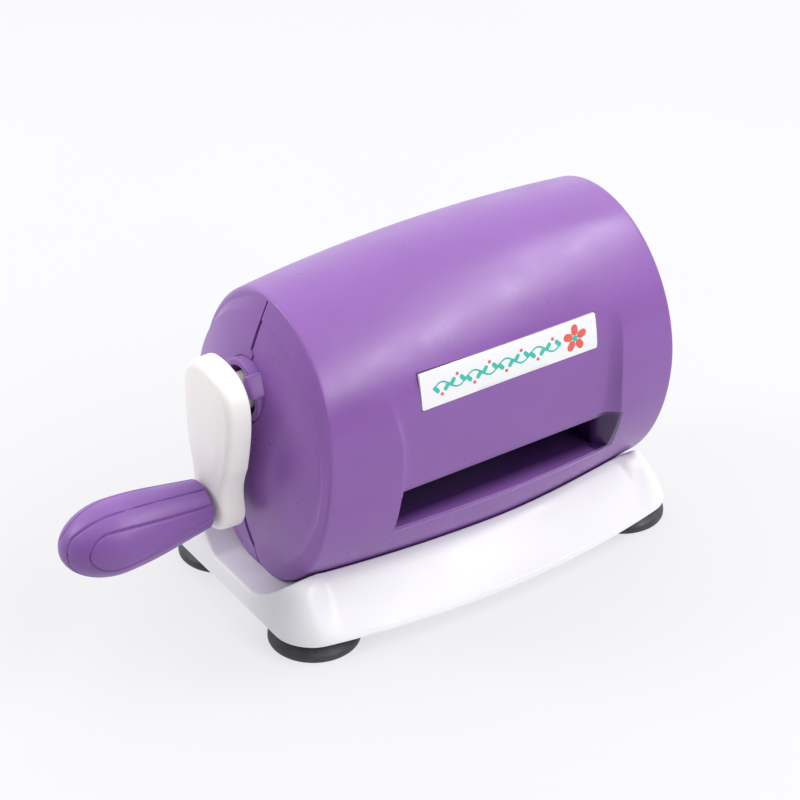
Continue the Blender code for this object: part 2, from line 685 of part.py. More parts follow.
def roller(name, left_end, right_end, z, parent):
    """A turned steel roller with its two journals."""
    start, end = ROLLER_X
    wide, thin = ROLLER_RADIUS, JOURNAL_RADIUS
    profile = (
        (0, right_end), (thin, right_end), (thin, end), (wide - 0.6, end), (wide, end - 0.6),
        (wide, start + 0.6), (wide - 0.6, start), (thin, start), (thin, left_end), (0, left_end),
    )
    return place(turned(name, profile, "X", 28), "roller_steel", (0, 0, z), parent)


def build_rollers():
    for level, z in (("upper", UPPER_Z), ("lower", LOWER_Z)):
        axis = joint_empty(f"{level}_roller_axis", (0, 0, z))
        roller(f"{level}_roller", ROLLER_LEFT_END[level], ROLLER_RIGHT_END, z, axis)
        gear(
            f"{level}_sync_gear", SYNC_TEETH, SYNC_MODULE, JOURNAL_RADIUS, level == "upper",
            "gear_plastic", (SYNC_GEAR_X, 0, z), axis,
        )
        if level == "upper":
            gear(
                "upper_drive_gear", DRIVE_TEETH, DRIVE_MODULE, JOURNAL_RADIUS, True,
                "gear_plastic", (DRIVE_GEAR_X, 0, z), axis,
            )
        for end, x in zip(("left", "right"), ROLLER_CLIPS[level]):
            clip(f"{level}_{end}_clip", JOURNAL_RADIUS, (x, 0, z), axis)


# ------------------------------------------------------------------ crank and handle
def arm_half_width(z):
    """Half the arm's width at a height above the handle's centre: a wide hub drawn down to a narrow neck."""
    if z > CRANK_REACH:
        share = min(1.0, (z - CRANK_REACH) / ARM_HUB_TOP)
        return ARM_HUB_RADIUS * (1 - share**2.4) ** (1 / 2.4)
    if z < 0:
        return math.sqrt(max(0.0, ARM_TIP_RADIUS**2 - z**2))
    share = z / CRANK_REACH
    ease = smooth(share)
    neck = -1.6 * math.sin(math.pi * min(1.0, share * 2.2)) if share < 1 / 2.2 else 0.0
    return ARM_TIP_RADIUS + (ARM_HUB_RADIUS - ARM_TIP_RADIUS) * ease + neck


def arm_ring(x, inset):
    """The arm's outline at x, drawn in by inset towards its own middle line."""
    top = CRANK_REACH + ARM_HUB_TOP
    bottom = -ARM_TIP_RADIUS
    middle, half = (top + bottom) / 2, (top - bottom) / 2
    count = 12
    side = []
    for i in range(count + 1):
        z = middle + half * math.cos(math.pi * i / count)
        shrink = (half - inset) / half
        width = arm_half_width(z)
        y = max(0.0, width - inset * min(1.0, width / 6))
        side.append((y, middle + (z - middle) * shrink))
    rear = [(y * (1 - ARM_REAR_SHARE * smooth(z / CRANK_REACH)), z) for y, z in side]
    ring = rear + [(-y, z) for y, z in reversed(side[1:-1])]
    return [(x, y, z + HANDLE_Z - CRANK_Z) for y, z in ring]


def build_crank():
    axis = joint_empty("crank_axis", (ARM_X[0], 0, CRANK_Z))
    inner = ARM_X[0]
    rings = [arm_ring(inner + x, inset) for x, inset in ARM_LAYERS]
    arm = place(loft("crank_arm", rings), "arm_plastic", (0, 0, CRANK_Z), axis)
    centre = (0, 0, CRANK_Z)
    sleeve = rod("arm_sleeve", ARM_SLEEVE_RADIUS, inner - 2.7, ARM_SLEEVE_END, sides=28)
    boolean(arm, cutter(sleeve, centre), "UNION")
    shaft_bore = rod("arm_shaft_bore", SHAFT_RADIUS + GAP, SHAFT_X[0] - 0.4, ARM_SLEEVE_END + 5, "X", 20)
    boolean(arm, cutter(shaft_bore, centre))
    spindle_bore = rod("arm_spindle_bore", SPINDLE_RADIUS + GAP, -120, -101.6, "X", 16)
    boolean(arm, cutter(spindle_bore, (0, 0, HANDLE_Z)))
    pin_place = (PIN_X, 0, CRANK_Z)
    boolean(arm, cutter(rod("arm_pin_bore", PIN_RADIUS + GAP, -20, 20, "Y", 10), pin_place))
    shaft = place(rod("crank_shaft", SHAFT_RADIUS, *SHAFT_X, "X", 20), "screw_steel", centre, axis)
    boolean(shaft, cutter(rod("shaft_pin_bore", PIN_RADIUS + GAP, -20, 20, "Y", 10), pin_place))
    place(rod("crank_roll_pin", PIN_RADIUS, -PIN_REACH, PIN_REACH, "Y", 10), "screw_steel", pin_place, axis)
    gear(
        "drive_pinion", PINION_TEETH, DRIVE_MODULE, SHAFT_RADIUS, False,
        "roller_steel", (DRIVE_GEAR_X, 0, CRANK_Z), axis,
    )
    clip("crank_shaft_clip", SHAFT_RADIUS, (SHAFT_CLIP_X, 0, CRANK_Z), axis)
    tip = HANDLE_X[1] + 16
    profile = (
        (0, -102.0), (SPINDLE_RADIUS, -102.0), (SPINDLE_RADIUS, tip + 1), (2.4, tip), (0, tip),
    )
    place(turned("handle_spindle", profile, "X", 16), "screw_steel", (0, 0, HANDLE_Z), axis)
    build_collar()
    build_handle()


def build_collar():
    """The ring round the crank's sleeve, with a flange inside the housing and a lug against turning."""
    back, tip = COLLAR_X
    outer, bore = COLLAR_RADIUS, COLLAR_BORE
    profile = (
        (outer + 3.3, back), (outer + 3.3, back - 2.0), (outer, back - 2.0), (outer, tip + 1.4),
        (outer - 1.4, tip), (bore + 0.8, tip), (bore, tip + 0.8), (bore, back),
    )
    collar = place(turned("crank_collar", profile, "X", 28), "purple_plastic", (0, 0, CRANK_Z))
    boolean(collar, cutter(box("collar_lug", LUG_X, LUG_Y, LUG_Z)), "UNION")
    notch_y, notch_z = ((low - GAP, high + GAP) for low, high in (LUG_Y, LUG_Z))
    notch = box("collar_lug_notch", (-110.0, -70.0), notch_y, notch_z)
    boolean(bpy.data.objects["front_shell"], cutter(notch))


def grip_radius(along):
    """The grip's radius from its neck (along 0) to its blunt end (along 1)."""
    body = min(HANDLE_BULB, HANDLE_NECK + HANDLE_TAPER * along)
    past = max(0.0, along - 1 + HANDLE_ROUND) / HANDLE_ROUND
    return body * math.sqrt(max(0.0, 1 - past**2))


def build_handle():
    """A bulb-ended grip that turns freely on its spindle, with a plain sleeve as its bearing."""
    axis = joint_empty("handle_axis", (HANDLE_X[0], 0, HANDLE_Z))
    near, far = HANDLE_X
    bore = SPINDLE_RADIUS + SLEEVE_WALL + GAP
    blind = far + 12
    outside = []
    for share in (0.02, 0.15, 0.32, 0.48, 0.6, 0.72, 0.82, 0.9, 0.955, 0.99):
        outside.append((grip_radius(share), near + (far - near) * share))
    profile = [(0, blind), (bore, blind), (bore, near), (HANDLE_NECK - 1, near)] + outside + [(0, far)]
    place(turned("handle_grip", profile, "X", 28), "purple_plastic", (0, 0, HANDLE_Z), axis)
    sleeve = tube_profile(SPINDLE_RADIUS + SLEEVE_WALL, SPINDLE_RADIUS + GAP, blind + 6, near - 0.5)
    place(turned("grip_sleeve", sleeve, "X", 16), "white_plastic", (0, 0, HANDLE_Z), axis)


# ------------------------------------------------------------------ fasteners
def build_screws():
    ends = {-1: "left", 1: "right"}
    faces = {-1: "front", 1: "rear"}

    def where(x, y):
        return f"{faces[int(math.copysign(1, y))]}_{ends[int(math.copysign(1, x))]}"

    under_deck = DECK_TOP - DECK_THICK - 0.1
    for x, y in HOUSING_SCREWS:
        place(screw(f"housing_screw_{where(x, y)}", 11), "screw_steel", (x, y, under_deck - GAP / 3))
    for x, y in FRAME_SCREWS:
        place(screw(f"frame_screw_{where(x, y)}", 9), "screw_steel", (x, y, under_deck - GAP / 3))
    for x, y in COVER_SCREWS:
        place(screw(f"cover_screw_{where(x, y)}", 8), "screw_steel", (x, y, BASE_Z[0] + 0.3))
    for x, end in zip(TOP_SCREW_X, ("left", "right")):
        seat = TOP_SCREW_SEAT + GAP
        top = place(screw(f"shell_screw_{end}", 22, 3.2), "screw_steel", (x, seat, TOP_SCREW_Z))
        top.rotation_euler = (math.pi / 2, 0, 0)


clear_scene()
parts = new_collection("die_cutting_machine")
cutters = new_collection("cutters")
build_housing()
build_base()
build_frame()
build_rollers()
build_crank()
build_screws()
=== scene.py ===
"""Looks for the hand-cranked die cutting machine.

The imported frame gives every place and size. Fine skins replace the faceted shells, base, crank, grip,
label and feet; the rollers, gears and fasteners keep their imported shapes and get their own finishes.
Shapes are drawn in millimetres from the middle of the four feet, as in the frame's own design.
"""

import json
import math

import bmesh
import bpy
import numpy as np
from mathutils import Matrix, Vector


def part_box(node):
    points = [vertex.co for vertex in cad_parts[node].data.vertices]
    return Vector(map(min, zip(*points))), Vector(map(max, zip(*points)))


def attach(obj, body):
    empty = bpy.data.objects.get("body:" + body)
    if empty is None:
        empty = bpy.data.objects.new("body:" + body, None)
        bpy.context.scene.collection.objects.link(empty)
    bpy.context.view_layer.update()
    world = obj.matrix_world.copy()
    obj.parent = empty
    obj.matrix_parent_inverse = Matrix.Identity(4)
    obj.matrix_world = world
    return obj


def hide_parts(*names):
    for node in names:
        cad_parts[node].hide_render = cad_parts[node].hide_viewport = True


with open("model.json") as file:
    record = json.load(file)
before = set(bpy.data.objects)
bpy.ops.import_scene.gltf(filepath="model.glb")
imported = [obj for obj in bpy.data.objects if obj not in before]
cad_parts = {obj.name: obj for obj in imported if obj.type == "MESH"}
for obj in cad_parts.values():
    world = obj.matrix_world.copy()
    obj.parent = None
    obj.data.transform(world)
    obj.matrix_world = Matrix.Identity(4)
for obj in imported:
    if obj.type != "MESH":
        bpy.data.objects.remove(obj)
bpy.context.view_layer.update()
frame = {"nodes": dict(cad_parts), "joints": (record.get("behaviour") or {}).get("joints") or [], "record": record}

MM = 0.001
FEET = ("front_left_foot", "rear_left_foot", "front_right_foot", "rear_right_foot")


def span(node):
    """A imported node's lowest and highest corner, in millimetres from the middle of the feet."""
    low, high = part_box(node)
    return (low - ORIGIN) / MM, (high - ORIGIN) / MM


def joint_z(name):
    return next(j["pos_m"][2] for j in frame["joints"] if j["name"] == name) / MM


FOOT_BOXES = [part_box(name) for name in FEET]
ORIGIN = sum(((low + high) / 2 for low, high in FOOT_BOXES), Vector()) / len(FEET)
ORIGIN.z = 0.0

# ---- the housing's form ----
AXIS_Z, HALF_WIDTH, RISE, DROP = 86.0, 54.5, 61.0, 76.0
GIRTH, FATTEST_X, TAPER = 1.057, 22.0, 1e-5
LEFT_FULLNESS, RIGHT_FULLNESS, RIGHT_X = 2.21, 1.84, 94.0
HOUSING_BOTTOM = span("front_shell")[0].z
TOP_Z = 145.0
SKIN = 2.2
SEAM, END_SEAM = 0.32, 0.5
ARC_END_Z = 131.0
LEFT_TOP_X, LEFT_LEAN = -77.5, 0.066
RIGHT_TOP_X, RIGHT_LEAN = 92.0, 0.03
FACE_Z, FACE_HALF_WIDTH, FACE_HALF_HEIGHT = 80.5, 49.5, 55.3
LEFT_FACE_X, LEFT_FACE_LEAN, LEFT_FACE_TOP, LEFT_DOME = -81.0, 0.068, 135.7, 9.5
RIGHT_FACE_OUT, RIGHT_DOME, RIGHT_FACE_SCALE, RIGHT_HUB = 2.6, 2.6, 1.02, 0.6
BAND = 0.22                              # the part of an end's rows that lies on its chamfered band
WELL_RADIUS, WELL_WALL = 3.7, 0.5        # the holes for the screws that join the two shells

# ---- the crank's collar ----
CRANK_Z = joint_z("crank_turn")
HANDLE_Z = joint_z("handle_spin")
COLLAR_LOW, COLLAR_HIGH = span("crank_collar")
COLLAR_HOLE, COLLAR_RADIUS, COLLAR_BORE = 14.4, 14.1, 11.0
LUG_REACH, LUG_TURN, LUG_BACK_X = 2.6, 146.0, -83.5
LUG_HALF_WIDTH, LUG_THICKNESS = 5.2, 3.1

# ---- the recessed panel and the slot ----
PANEL_Y, PANEL_Z, PANEL_BEND = 52.6, 90.0, 240.0
PANEL_LEFT, PANEL_RIGHT = -44.5, 58.5
PANEL_FADE, PANEL_TOP, PANEL_BLEND = 126.0, 134.0, 0.7
LEFT_RIDGE_X, RIGHT_RIDGE_X, FLARE_POWER = -48.2, 64.2, 1.8
SLOT_BOTTOM, SLOT_TOP = 48.2, 65.6
TUNNEL_END = 42.5
WALL_RUN = 3.2
LABEL_LOW, LABEL_HIGH = span("label_plate")
POCKET_DEPTH, POCKET_EDGE = 0.9, 0.2
POCKET_LEFT, POCKET_RIGHT = LABEL_LOW.x - 2 * POCKET_EDGE, LABEL_HIGH.x + 2 * POCKET_EDGE
POCKET_BOTTOM, POCKET_TOP = LABEL_LOW.z - 2 * POCKET_EDGE, LABEL_HIGH.z + 2 * POCKET_EDGE

# Painted shade darkens the slot's inside between two distances from the middle plane, and between two ends.
SHADE_FULL, SHADE_NONE, SHADE_MARGIN = 43.0, 51.5, 1.5
SHADE_X = (-49.5, 67.0)
# Its right wall faces away from the light, so there the shade begins this much sooner.
RIGHT_WALL, RIGHT_WALL_SHADE = (55.5, 59.5), 9.0

# ---- base ----
BASE_LOW, BASE_HIGH = span("base_shell")
BASE_HALF_WIDTH = BASE_HIGH.y
BASE_HALF_LENGTH, BASE_BOW, BASE_CORNER = 102.0, 11.5, 14.0
BASE_CORNER_START = BASE_HALF_LENGTH - BASE_CORNER
BASE_SKIN, BASE_EDGE, BASE_RIGHT_DROP, BASE_END_RUN = 1.8, 5.0, 3.5, 7.0
DECK_TOP, CRADLE_GAP = 15.0, 0.8
CRADLE_ENDS = (-80.0, 93.0)

# ---- crank arm and grip ----
ARM_INNER, ARM_OUTER = -99.3, span("crank_arm")[0].x
ARM_EDGE, ARM_BACK_EDGE = 3.4, 1.0
HUB_RADIUS, HUB_TOP, TIP_RADIUS, REAR_SHARE = 21.5, 18.3, 13.8, 0.22
REACH = CRANK_Z - HANDLE_Z
GRIP_NECK, GRIP_SWELL, GRIP_END = 10.8, 10.2, 0.38
GROOVE_DEPTH, GROOVE_SPREAD, GROOVE_TURN = 0.9, 0.42, 9.0
# Each groove's half-angle, start from the free end, run to full width, and the share lost towards the neck.
GROOVES = ((34.0, 7.5, 9.0, 0.47), (61.0, 1.0, 3.5, 0.08))
NARROWING_START, NARROWING_RUN = 17.0, 46.0

# ---- light and camera ----
FLOOR_GLOW, STRIP, REAR = 0.655, 51.0, 6.0
LIGHT_TINT = (0.985, 0.985, 1.0, 1)
SKY_SIDE, SKY_DARK, SKY_BRIGHT = (0.34, 0.68, 0.65), 0.0, 1.40
CAMERA_TURN, CAMERA_RISE, CAMERA_LENS = 34.14, 32.35, 108
CAMERA_DISTANCE, CAMERA_ACROSS, CAMERA_ABOVE = 1.0846, -0.01062, 0.05774


# ------------------------------------------------------------------ small maths
def smooth(share):
    share = np.clip(share, 0.0, 1.0)
    return share * share * (3 - 2 * share)


def soft_min(a, b, radius):
    """The smaller of a and b, rounded over where they cross."""
    blend = np.clip(0.5 + 0.5 * (b - a) / radius, 0.0, 1.0)
    return b + (a - b) * blend - radius * blend * (1 - blend)


def soft_positive(value, radius):
    return 0.5 * (value + np.sqrt(value * value + radius * radius))


def steps(*stops):
    """Stops and counts in turn, such as (0, 4, 1.0, 2, 2.0), filled in evenly."""
    out = [stops[0]]
    for count, stop in zip(stops[1::2], stops[2::2]):
        start = out[-1]
        out += [start + (stop - start) * (i + 1) / count for i in range(count)]
    return np.array(out)


# ------------------------------------------------------------------ meshes
def to_object(name, points, faces, angle=40.0):
    """A mesh object from points in millimetres, its normals facing out."""
    data = bpy.data.meshes.new(name)
    work = bmesh.new()
    verts = [work.verts.new(Vector(p) * MM + ORIGIN) for p in points]
    for face in faces:
        corners = [verts[i] for i in face]
        if len(set(corners)) == len(corners):
            work.faces.new(corners)
    bmesh.ops.remove_doubles(work, verts=work.verts, dist=2e-6)
    bmesh.ops.recalc_face_normals(work, faces=work.faces)
    work.to_mesh(data)
    work.free()
    data.shade_smooth()
    data.set_sharp_from_angle(angle=math.radians(angle))
    obj = bpy.data.objects.new(name, data)
    bpy.context.scene.collection.objects.link(obj)
    return obj


def grid_faces(rows, columns, close_rows=False, close_columns=False, skip=None):
    """Quads between neighbouring points of a grid whose points are numbered row by row."""
    faces = []
    for j in range(rows if close_rows else rows - 1):
        for i in range(columns if close_columns else columns - 1):
            if skip and skip(j, i):
                continue
            a = j * columns + i
            b = j * columns + (i + 1) % columns
            below = (j + 1) % rows * columns
            faces.append((a, b, below + (i + 1) % columns, below + i))
    return faces


def lofted(name, rings, angle=40.0):
    """A closed skin over rings with equal point counts, its first and last ring filled."""
    count = len(rings[0])
    points = [p for ring in rings for p in ring]
    faces = grid_faces(len(rings), count, close_columns=True)
    faces.append(tuple(range(count)))
    faces.append(tuple(range(len(points) - count, len(points))))
    return to_object(name, points, faces, angle)


def lathe(name, profile, centre, axis="X", sides=96, angle=40.0):
    """A profile of (radius, place along the axis) turned about an axis through centre."""
    rings = []
    for radius, along in profile:
        ring = []
        for i in range(sides):
            turn = 2 * math.pi * i / sides
            c, s = radius * math.cos(turn), radius * math.sin(turn)
            offset = {"X": (along, c, s), "Y": (c, along, s), "Z": (c, s, along)}[axis]
            ring.append(tuple(a + b for a, b in zip(centre, offset)))
        rings.append(ring)
    points = [p for ring in rings for p in ring]
    closed = profile[0][0] > 1e-6 and profile[-1][0] > 1e-6
    faces = grid_faces(len(rings), sides, close_rows=closed, close_columns=True)
    if not closed:
        faces = [tuple(dict.fromkeys(face)) for face in faces]
    return to_object(name, points, faces, angle)


def rounded(points, radius, cuts=4):
    """An open polyline's inner corners rounded with arcs of up to radius."""
    out = [points[0]]
    for before, corner, after in zip(points, points[1:], points[2:]):
        a, b, c = Vector(before), Vector(corner), Vector(after)
        reach = min(radius, (a - b).length * 0.45, (c - b).length * 0.45)
        start = b + (a - b).normalized() * reach
        end = b + (c - b).normalized() * reach
        for i in range(cuts + 1):
            t = i / cuts
            out.append(tuple((1 - t) ** 2 * start + 2 * t * (1 - t) * b + t * t * end))
    out.append(points[-1])
    return out


def finish_piece(obj, material, body, replaces=()):
    obj.data.materials.clear()
    obj.data.materials.append(material)
    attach(obj, body)
    if replaces:
        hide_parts(*replaces)
    return obj


def apply_modifiers(obj):
    graph = bpy.context.evaluated_depsgraph_get()
    data = bpy.data.meshes.new_from_object(obj.evaluated_get(graph))
    obj.modifiers.clear()
    obj.data = data


def thicken(obj, thickness):
    shell = obj.modifiers.new("wall", "SOLIDIFY")
    shell.thickness = thickness * MM
    shell.offset = -1
    shell.use_even_offset = False


# ------------------------------------------------------------------ materials
def new_material(name):
    material = bpy.data.materials.new(name)
    material.use_nodes = True
    tree = material.node_tree
    return material, tree, tree.nodes["Principled BSDF"]


def noise(tree, scale, detail=2.0, roughness=0.5, stretch=None):
    place = tree.nodes.new("ShaderNodeTexCoord")
    texture = tree.nodes.new("ShaderNodeTexNoise")
    texture.inputs["Scale"].default_value = scale
    texture.inputs["Detail"].default_value = detail
    texture.inputs["Roughness"].default_value = roughness
    source = place.outputs["Object"]
    if stretch:
        mapping = tree.nodes.new("ShaderNodeMapping")
        mapping.inputs["Scale"].default_value = stretch
        tree.links.new(source, mapping.inputs["Vector"])
        source = mapping.outputs["Vector"]
    tree.links.new(source, texture.inputs["Vector"])
    return texture.outputs["Fac"]


def remap(tree, value, low, high, from_low=0.3, from_high=0.7):
    node = tree.nodes.new("ShaderNodeMapRange")
    node.inputs["From Min"].default_value = from_low
    node.inputs["From Max"].default_value = from_high
    node.inputs["To Min"].default_value = low
    node.inputs["To Max"].default_value = high
    tree.links.new(value, node.inputs["Value"])
    return node.outputs["Result"]


def mix(tree, factor, first, second):
    node = tree.nodes.new("ShaderNodeMix")
    node.data_type = "RGBA"
    for socket, value in ((node.inputs[0], factor), (node.inputs[6], first), (node.inputs[7], second)):
        if isinstance(value, (int, float)):
            socket.default_value = value
        elif isinstance(value, tuple):
            socket.default_value = (*value, 1)
        else:
            tree.links.new(value, socket)
    return node.outputs[2]


def edge_mask(tree, radius, strength):
    """1 along edges, where lighter scuffing and painted highlight go, and 0 on open faces: how far a rounded
    normal leans from the true one.
    """
    bevel = tree.nodes.new("ShaderNodeBevel")
    bevel.samples = 6
    bevel.inputs["Radius"].default_value = radius
    geometry = tree.nodes.new("ShaderNodeNewGeometry")
    dot = tree.nodes.new("ShaderNodeVectorMath")
    dot.operation = "DOT_PRODUCT"
    tree.links.new(bevel.outputs["Normal"], dot.inputs[0])
    tree.links.new(geometry.outputs["Normal"], dot.inputs[1])
    return remap(tree, dot.outputs["Value"], strength, 0.0, 0.86, 0.995)


def maths(tree, operation, first, second=None):
    node = tree.nodes.new("ShaderNodeMath")
    node.operation = operation
    tree.links.new(first, node.inputs[0])
    if second:
        tree.links.new(second, node.inputs[1])
    return node.outputs[0]


def painted_slot_shade(tree, strength):
    """Painted shade: 0 outside, rising to strength behind the mouths of the two slots, where little light gets in.
    """
    place = tree.nodes.new("ShaderNodeTexCoord")
    split = tree.nodes.new("ShaderNodeSeparateXYZ")
    tree.links.new(place.outputs["Object"], split.inputs["Vector"])
    along, height = split.outputs["X"], split.outputs["Z"]
    depth = maths(tree, "ABSOLUTE", split.outputs["Y"])
    start, end = (ORIGIN.x + x * MM for x in RIGHT_WALL)
    sooner = remap(tree, along, 0.0, RIGHT_WALL_SHADE * MM, start, end)
    depth = maths(tree, "SUBTRACT", depth, sooner)
    shade = remap(tree, depth, strength, 0.0, SHADE_FULL * MM, SHADE_NONE * MM)
    left, right = (ORIGIN.x + x * MM for x in SHADE_X)
    bottom, top = (SLOT_BOTTOM - SHADE_MARGIN) * MM, (SLOT_TOP + SHADE_MARGIN) * MM
    soft = 0.5 * MM
    for output, low, high in ((height, bottom, top), (along, left, right)):
        shade = maths(tree, "MULTIPLY", shade, remap(tree, output, 0.0, 1.0, low - soft, low))
        shade = maths(tree, "MULTIPLY", shade, remap(tree, output, 1.0, 0.0, high, high + soft))
    return shade


def bump(tree, height, strength, distance, normal=None):
    node = tree.nodes.new("ShaderNodeBump")
    node.inputs["Strength"].default_value = strength
    node.inputs["Distance"].default_value = distance
    tree.links.new(height, node.inputs["Height"])
    if normal:
        tree.links.new(normal, node.inputs["Normal"])
    return node.outputs["Normal"]


def moulded_plastic(
    name, colour, roughness, grain=0.12, wear_and_highlight=0.35, cloud=0.05, scatter=0.05, shade=0.0
):
    """Injection-moulded plastic: a fine spark-eroded grain, faint cloudiness, lighter edges that are part scuffing
    and part painted highlight, and, where shade is given, painted shade in the slot.
    """
    material, tree, shader = new_material(name)
    dark = tuple(c * (1 - cloud) for c in colour)
    light = tuple(min(1.0, c * (1 + cloud)) for c in colour)
    base = mix(tree, remap(tree, noise(tree, 28, 3), 0, 1), dark, light)
    # Lighter edges: part scuffing, part painted highlight.
    wear_and_highlight_colour = tuple(min(1.0, c * 1.25 + 0.05) for c in colour)
    wear_and_highlight_mask = edge_mask(tree, 0.0009, wear_and_highlight)
    base = mix(tree, wear_and_highlight_mask, base, wear_and_highlight_colour)
    if shade:
        # A dark colour painted deep in the slot as shade.
        deep = (colour[0] * 0.13, colour[1] * 0.06, colour[2] * 0.19)
        base = mix(tree, painted_slot_shade(tree, shade), base, deep)
    tree.links.new(base, shader.inputs["Base Color"])
    gloss = remap(tree, noise(tree, 60, 4, 0.6), roughness - 0.05, roughness + 0.05)
    tree.links.new(gloss, shader.inputs["Roughness"])
    coarse = bump(tree, noise(tree, 14, 2), 0.05, 0.0012)
    fine = bump(tree, noise(tree, 2600, 2, 0.6), grain, 0.00018, coarse)
    tree.links.new(fine, shader.inputs["Normal"])
    shader.inputs["IOR"].default_value = 1.5
    shader.inputs["Subsurface Weight"].default_value = scatter
    shader.inputs["Subsurface Radius"].default_value = (0.002, 0.0015, 0.0015)
    return material


def rubber(name, colour):
    material, tree, shader = new_material(name)
    light = tuple(c * 1.9 + 0.008 for c in colour)
    dust = remap(tree, noise(tree, 190, 6, 0.7), 0, 0.55, 0.45, 0.75)
    base = mix(tree, dust, colour, light)
    base = mix(tree, edge_mask(tree, 0.0012, 0.5), base, tuple(c * 2.2 + 0.015 for c in colour))
    tree.links.new(base, shader.inputs["Base Color"])
    tree.links.new(remap(tree, noise(tree, 120, 4), 0.42, 0.6), shader.inputs["Roughness"])
    tree.links.new(bump(tree, noise(tree, 1700, 3), 0.2, 0.0002), shader.inputs["Normal"])
    return material


def metal(name, colour, roughness, stretch, scale=900, strength=0.12):
    """Machined metal: tool marks drawn out across the stretch, with uneven sheen and brighter edges."""
    material, tree, shader = new_material(name)
    marks = noise(tree, scale, 3, 0.6, stretch)
    dark = tuple(c * 0.8 for c in colour)
    bright = tuple(min(1.0, c * 1.3 + 0.08) for c in colour)
    base = mix(tree, remap(tree, marks, 0, 1), dark, colour)
    base = mix(tree, edge_mask(tree, 0.0006, 0.6), base, bright)
    tree.links.new(base, shader.inputs["Base Color"])
    sheen = remap(tree, noise(tree, 90, 5, 0.65), roughness - 0.08, roughness + 0.12)
    tree.links.new(sheen, shader.inputs["Roughness"])
    tree.links.new(bump(tree, marks, strength, 0.0001), shader.inputs["Normal"])
    shader.inputs["Metallic"].default_value = 1.0
    return material


def printed_ink(name, colour):
    material, tree, shader = new_material(name)
    speckle = remap(tree, noise(tree, 1500, 3), 0, 0.18, 0.5, 0.8)
    tree.links.new(mix(tree, speckle, colour, (0.85, 0.88, 0.88)), shader.inputs["Base Color"])
    tree.links.new(remap(tree, noise(tree, 400, 2), 0.3, 0.42), shader.inputs["Roughness"])
    return material


# The purple gets painted shade inside the slot, and a painted highlight together with scuffing on its edges.
PURPLE = moulded_plastic("purple_plastic", (0.240, 0.097, 0.372), 0.32, grain=0.08, wear_and_highlight=0.6, shade=0.93)
GRIP_PURPLE = moulded_plastic("grip_purple", (0.205, 0.084, 0.335), 0.42, grain=0.20, wear_and_highlight=0.5)
WHITE = moulded_plastic("white_plastic", (0.77, 0.76, 0.79), 0.36, grain=0.08, wear_and_highlight=0.15, cloud=0.012)
ARM_WHITE = moulded_plastic("arm_plastic", (0.87, 0.84, 0.82), 0.42, grain=0.12, wear_and_highlight=0.15, cloud=0.015)
LABEL_WHITE = moulded_plastic("label_plastic", (0.86, 0.86, 0.88), 0.3, grain=0.05, wear_and_highlight=0.1, cloud=0.01)
NYLON = moulded_plastic("gear_plastic", (0.70, 0.67, 0.58), 0.48, grain=0.1, scatter=0.2)
RUBBER = rubber("foot_rubber", (0.036, 0.036, 0.039))
ROLLER_STEEL = metal("roller_steel", (0.56, 0.56, 0.58), 0.26, (6, 1, 1))
PLATE_STEEL = metal("plate_steel", (0.40, 0.41, 0.43), 0.38, (1, 8, 1))
SCREW_STEEL = metal("screw_steel", (0.52, 0.52, 0.54), 0.3, (1, 1, 5))
BRONZE = metal("bush_bronze", (0.55, 0.37, 0.17), 0.36, (5, 1, 1))
INK = printed_ink("label_ink", (0.02, 0.50, 0.40))
CORAL_INK = printed_ink("coral_ink", (0.75, 0.10, 0.07))

CAD_FINISHES = {
    "purple_plastic": PURPLE,
    "white_plastic": WHITE,
    "arm_plastic": ARM_WHITE,
    "foot_rubber": RUBBER,
    "roller_steel": ROLLER_STEEL,
    "plate_steel": PLATE_STEEL,
    "screw_steel": SCREW_STEEL,
    "gear_plastic": NYLON,
    "bush_bronze": BRONZE,
}


def finish_packed_nodes():
    slots = {row["node"]: row["material_slot"] for row in frame["record"]["subparts"]}
    for name, obj in frame["nodes"].items():
        obj.data.materials.clear()
        obj.data.materials.append(CAD_FINISHES[slots[name]])
        obj.data.shade_smooth()
        obj.data.set_sharp_from_angle(angle=math.radians(30))


# ------------------------------------------------------------------ the housing's form
def girth(x):
    """The barrel's size along its length, as a share: largest at FATTEST_X."""
    return GIRTH - TAPER * (x - FATTEST_X) ** 2


def fullness(x):
    """The lower half's superellipse exponent: slimmer towards the right."""
    return LEFT_FULLNESS + (RIGHT_FULLNESS - LEFT_FULLNESS) * smooth(x / RIGHT_X)


def half_width(x, z):
    """Half the barrel's width at a height: an ellipse above its axis and a superellipse below."""
    scale = girth(x)
    power = np.where(z > AXIS_Z, 2.0, fullness(x))
    tall = np.where(z > AXIS_Z, RISE, DROP) * scale
    share = np.clip(np.abs(z - AXIS_Z) / tall, 0.0, 1.0)
    return HALF_WIDTH * scale * (1 - share**power) ** (1 / power)


def left_rim_x(z):
    return LEFT_TOP_X - (TOP_Z - z) * LEFT_LEAN


def right_rim_x(z):
    return RIGHT_TOP_X + (TOP_Z - z) * RIGHT_LEAN


def panel_y(z):
    """How far the recessed panel stands from the middle plane: it bends gently over its height."""
    return PANEL_Y - (z - PANEL_Z) ** 2 / PANEL_BEND


def ridge_left(z):
    """Where the panel's left wall meets the barrel: near upright, leaning out above and beside the slot."""
    above = LEFT_RIDGE_X - 3.4 * smooth((z - 88) / 24)
    return above - 0.8 * np.clip((SLOT_TOP + 3 - z) / (SLOT_TOP + 3 - SLOT_BOTTOM), 0.0, 1.0) ** 1.2


def ridge_right(z):
    """Where the panel's flared right wall meets the barrel."""
    above = RIGHT_RIDGE_X + 1.6 * smooth((z - 92) / 22) + 1.6 * smooth((84 - z) / 18)
    return above - 2.0 * np.clip((SLOT_TOP - z) / (SLOT_TOP - SLOT_BOTTOM), 0.0, 1.0)


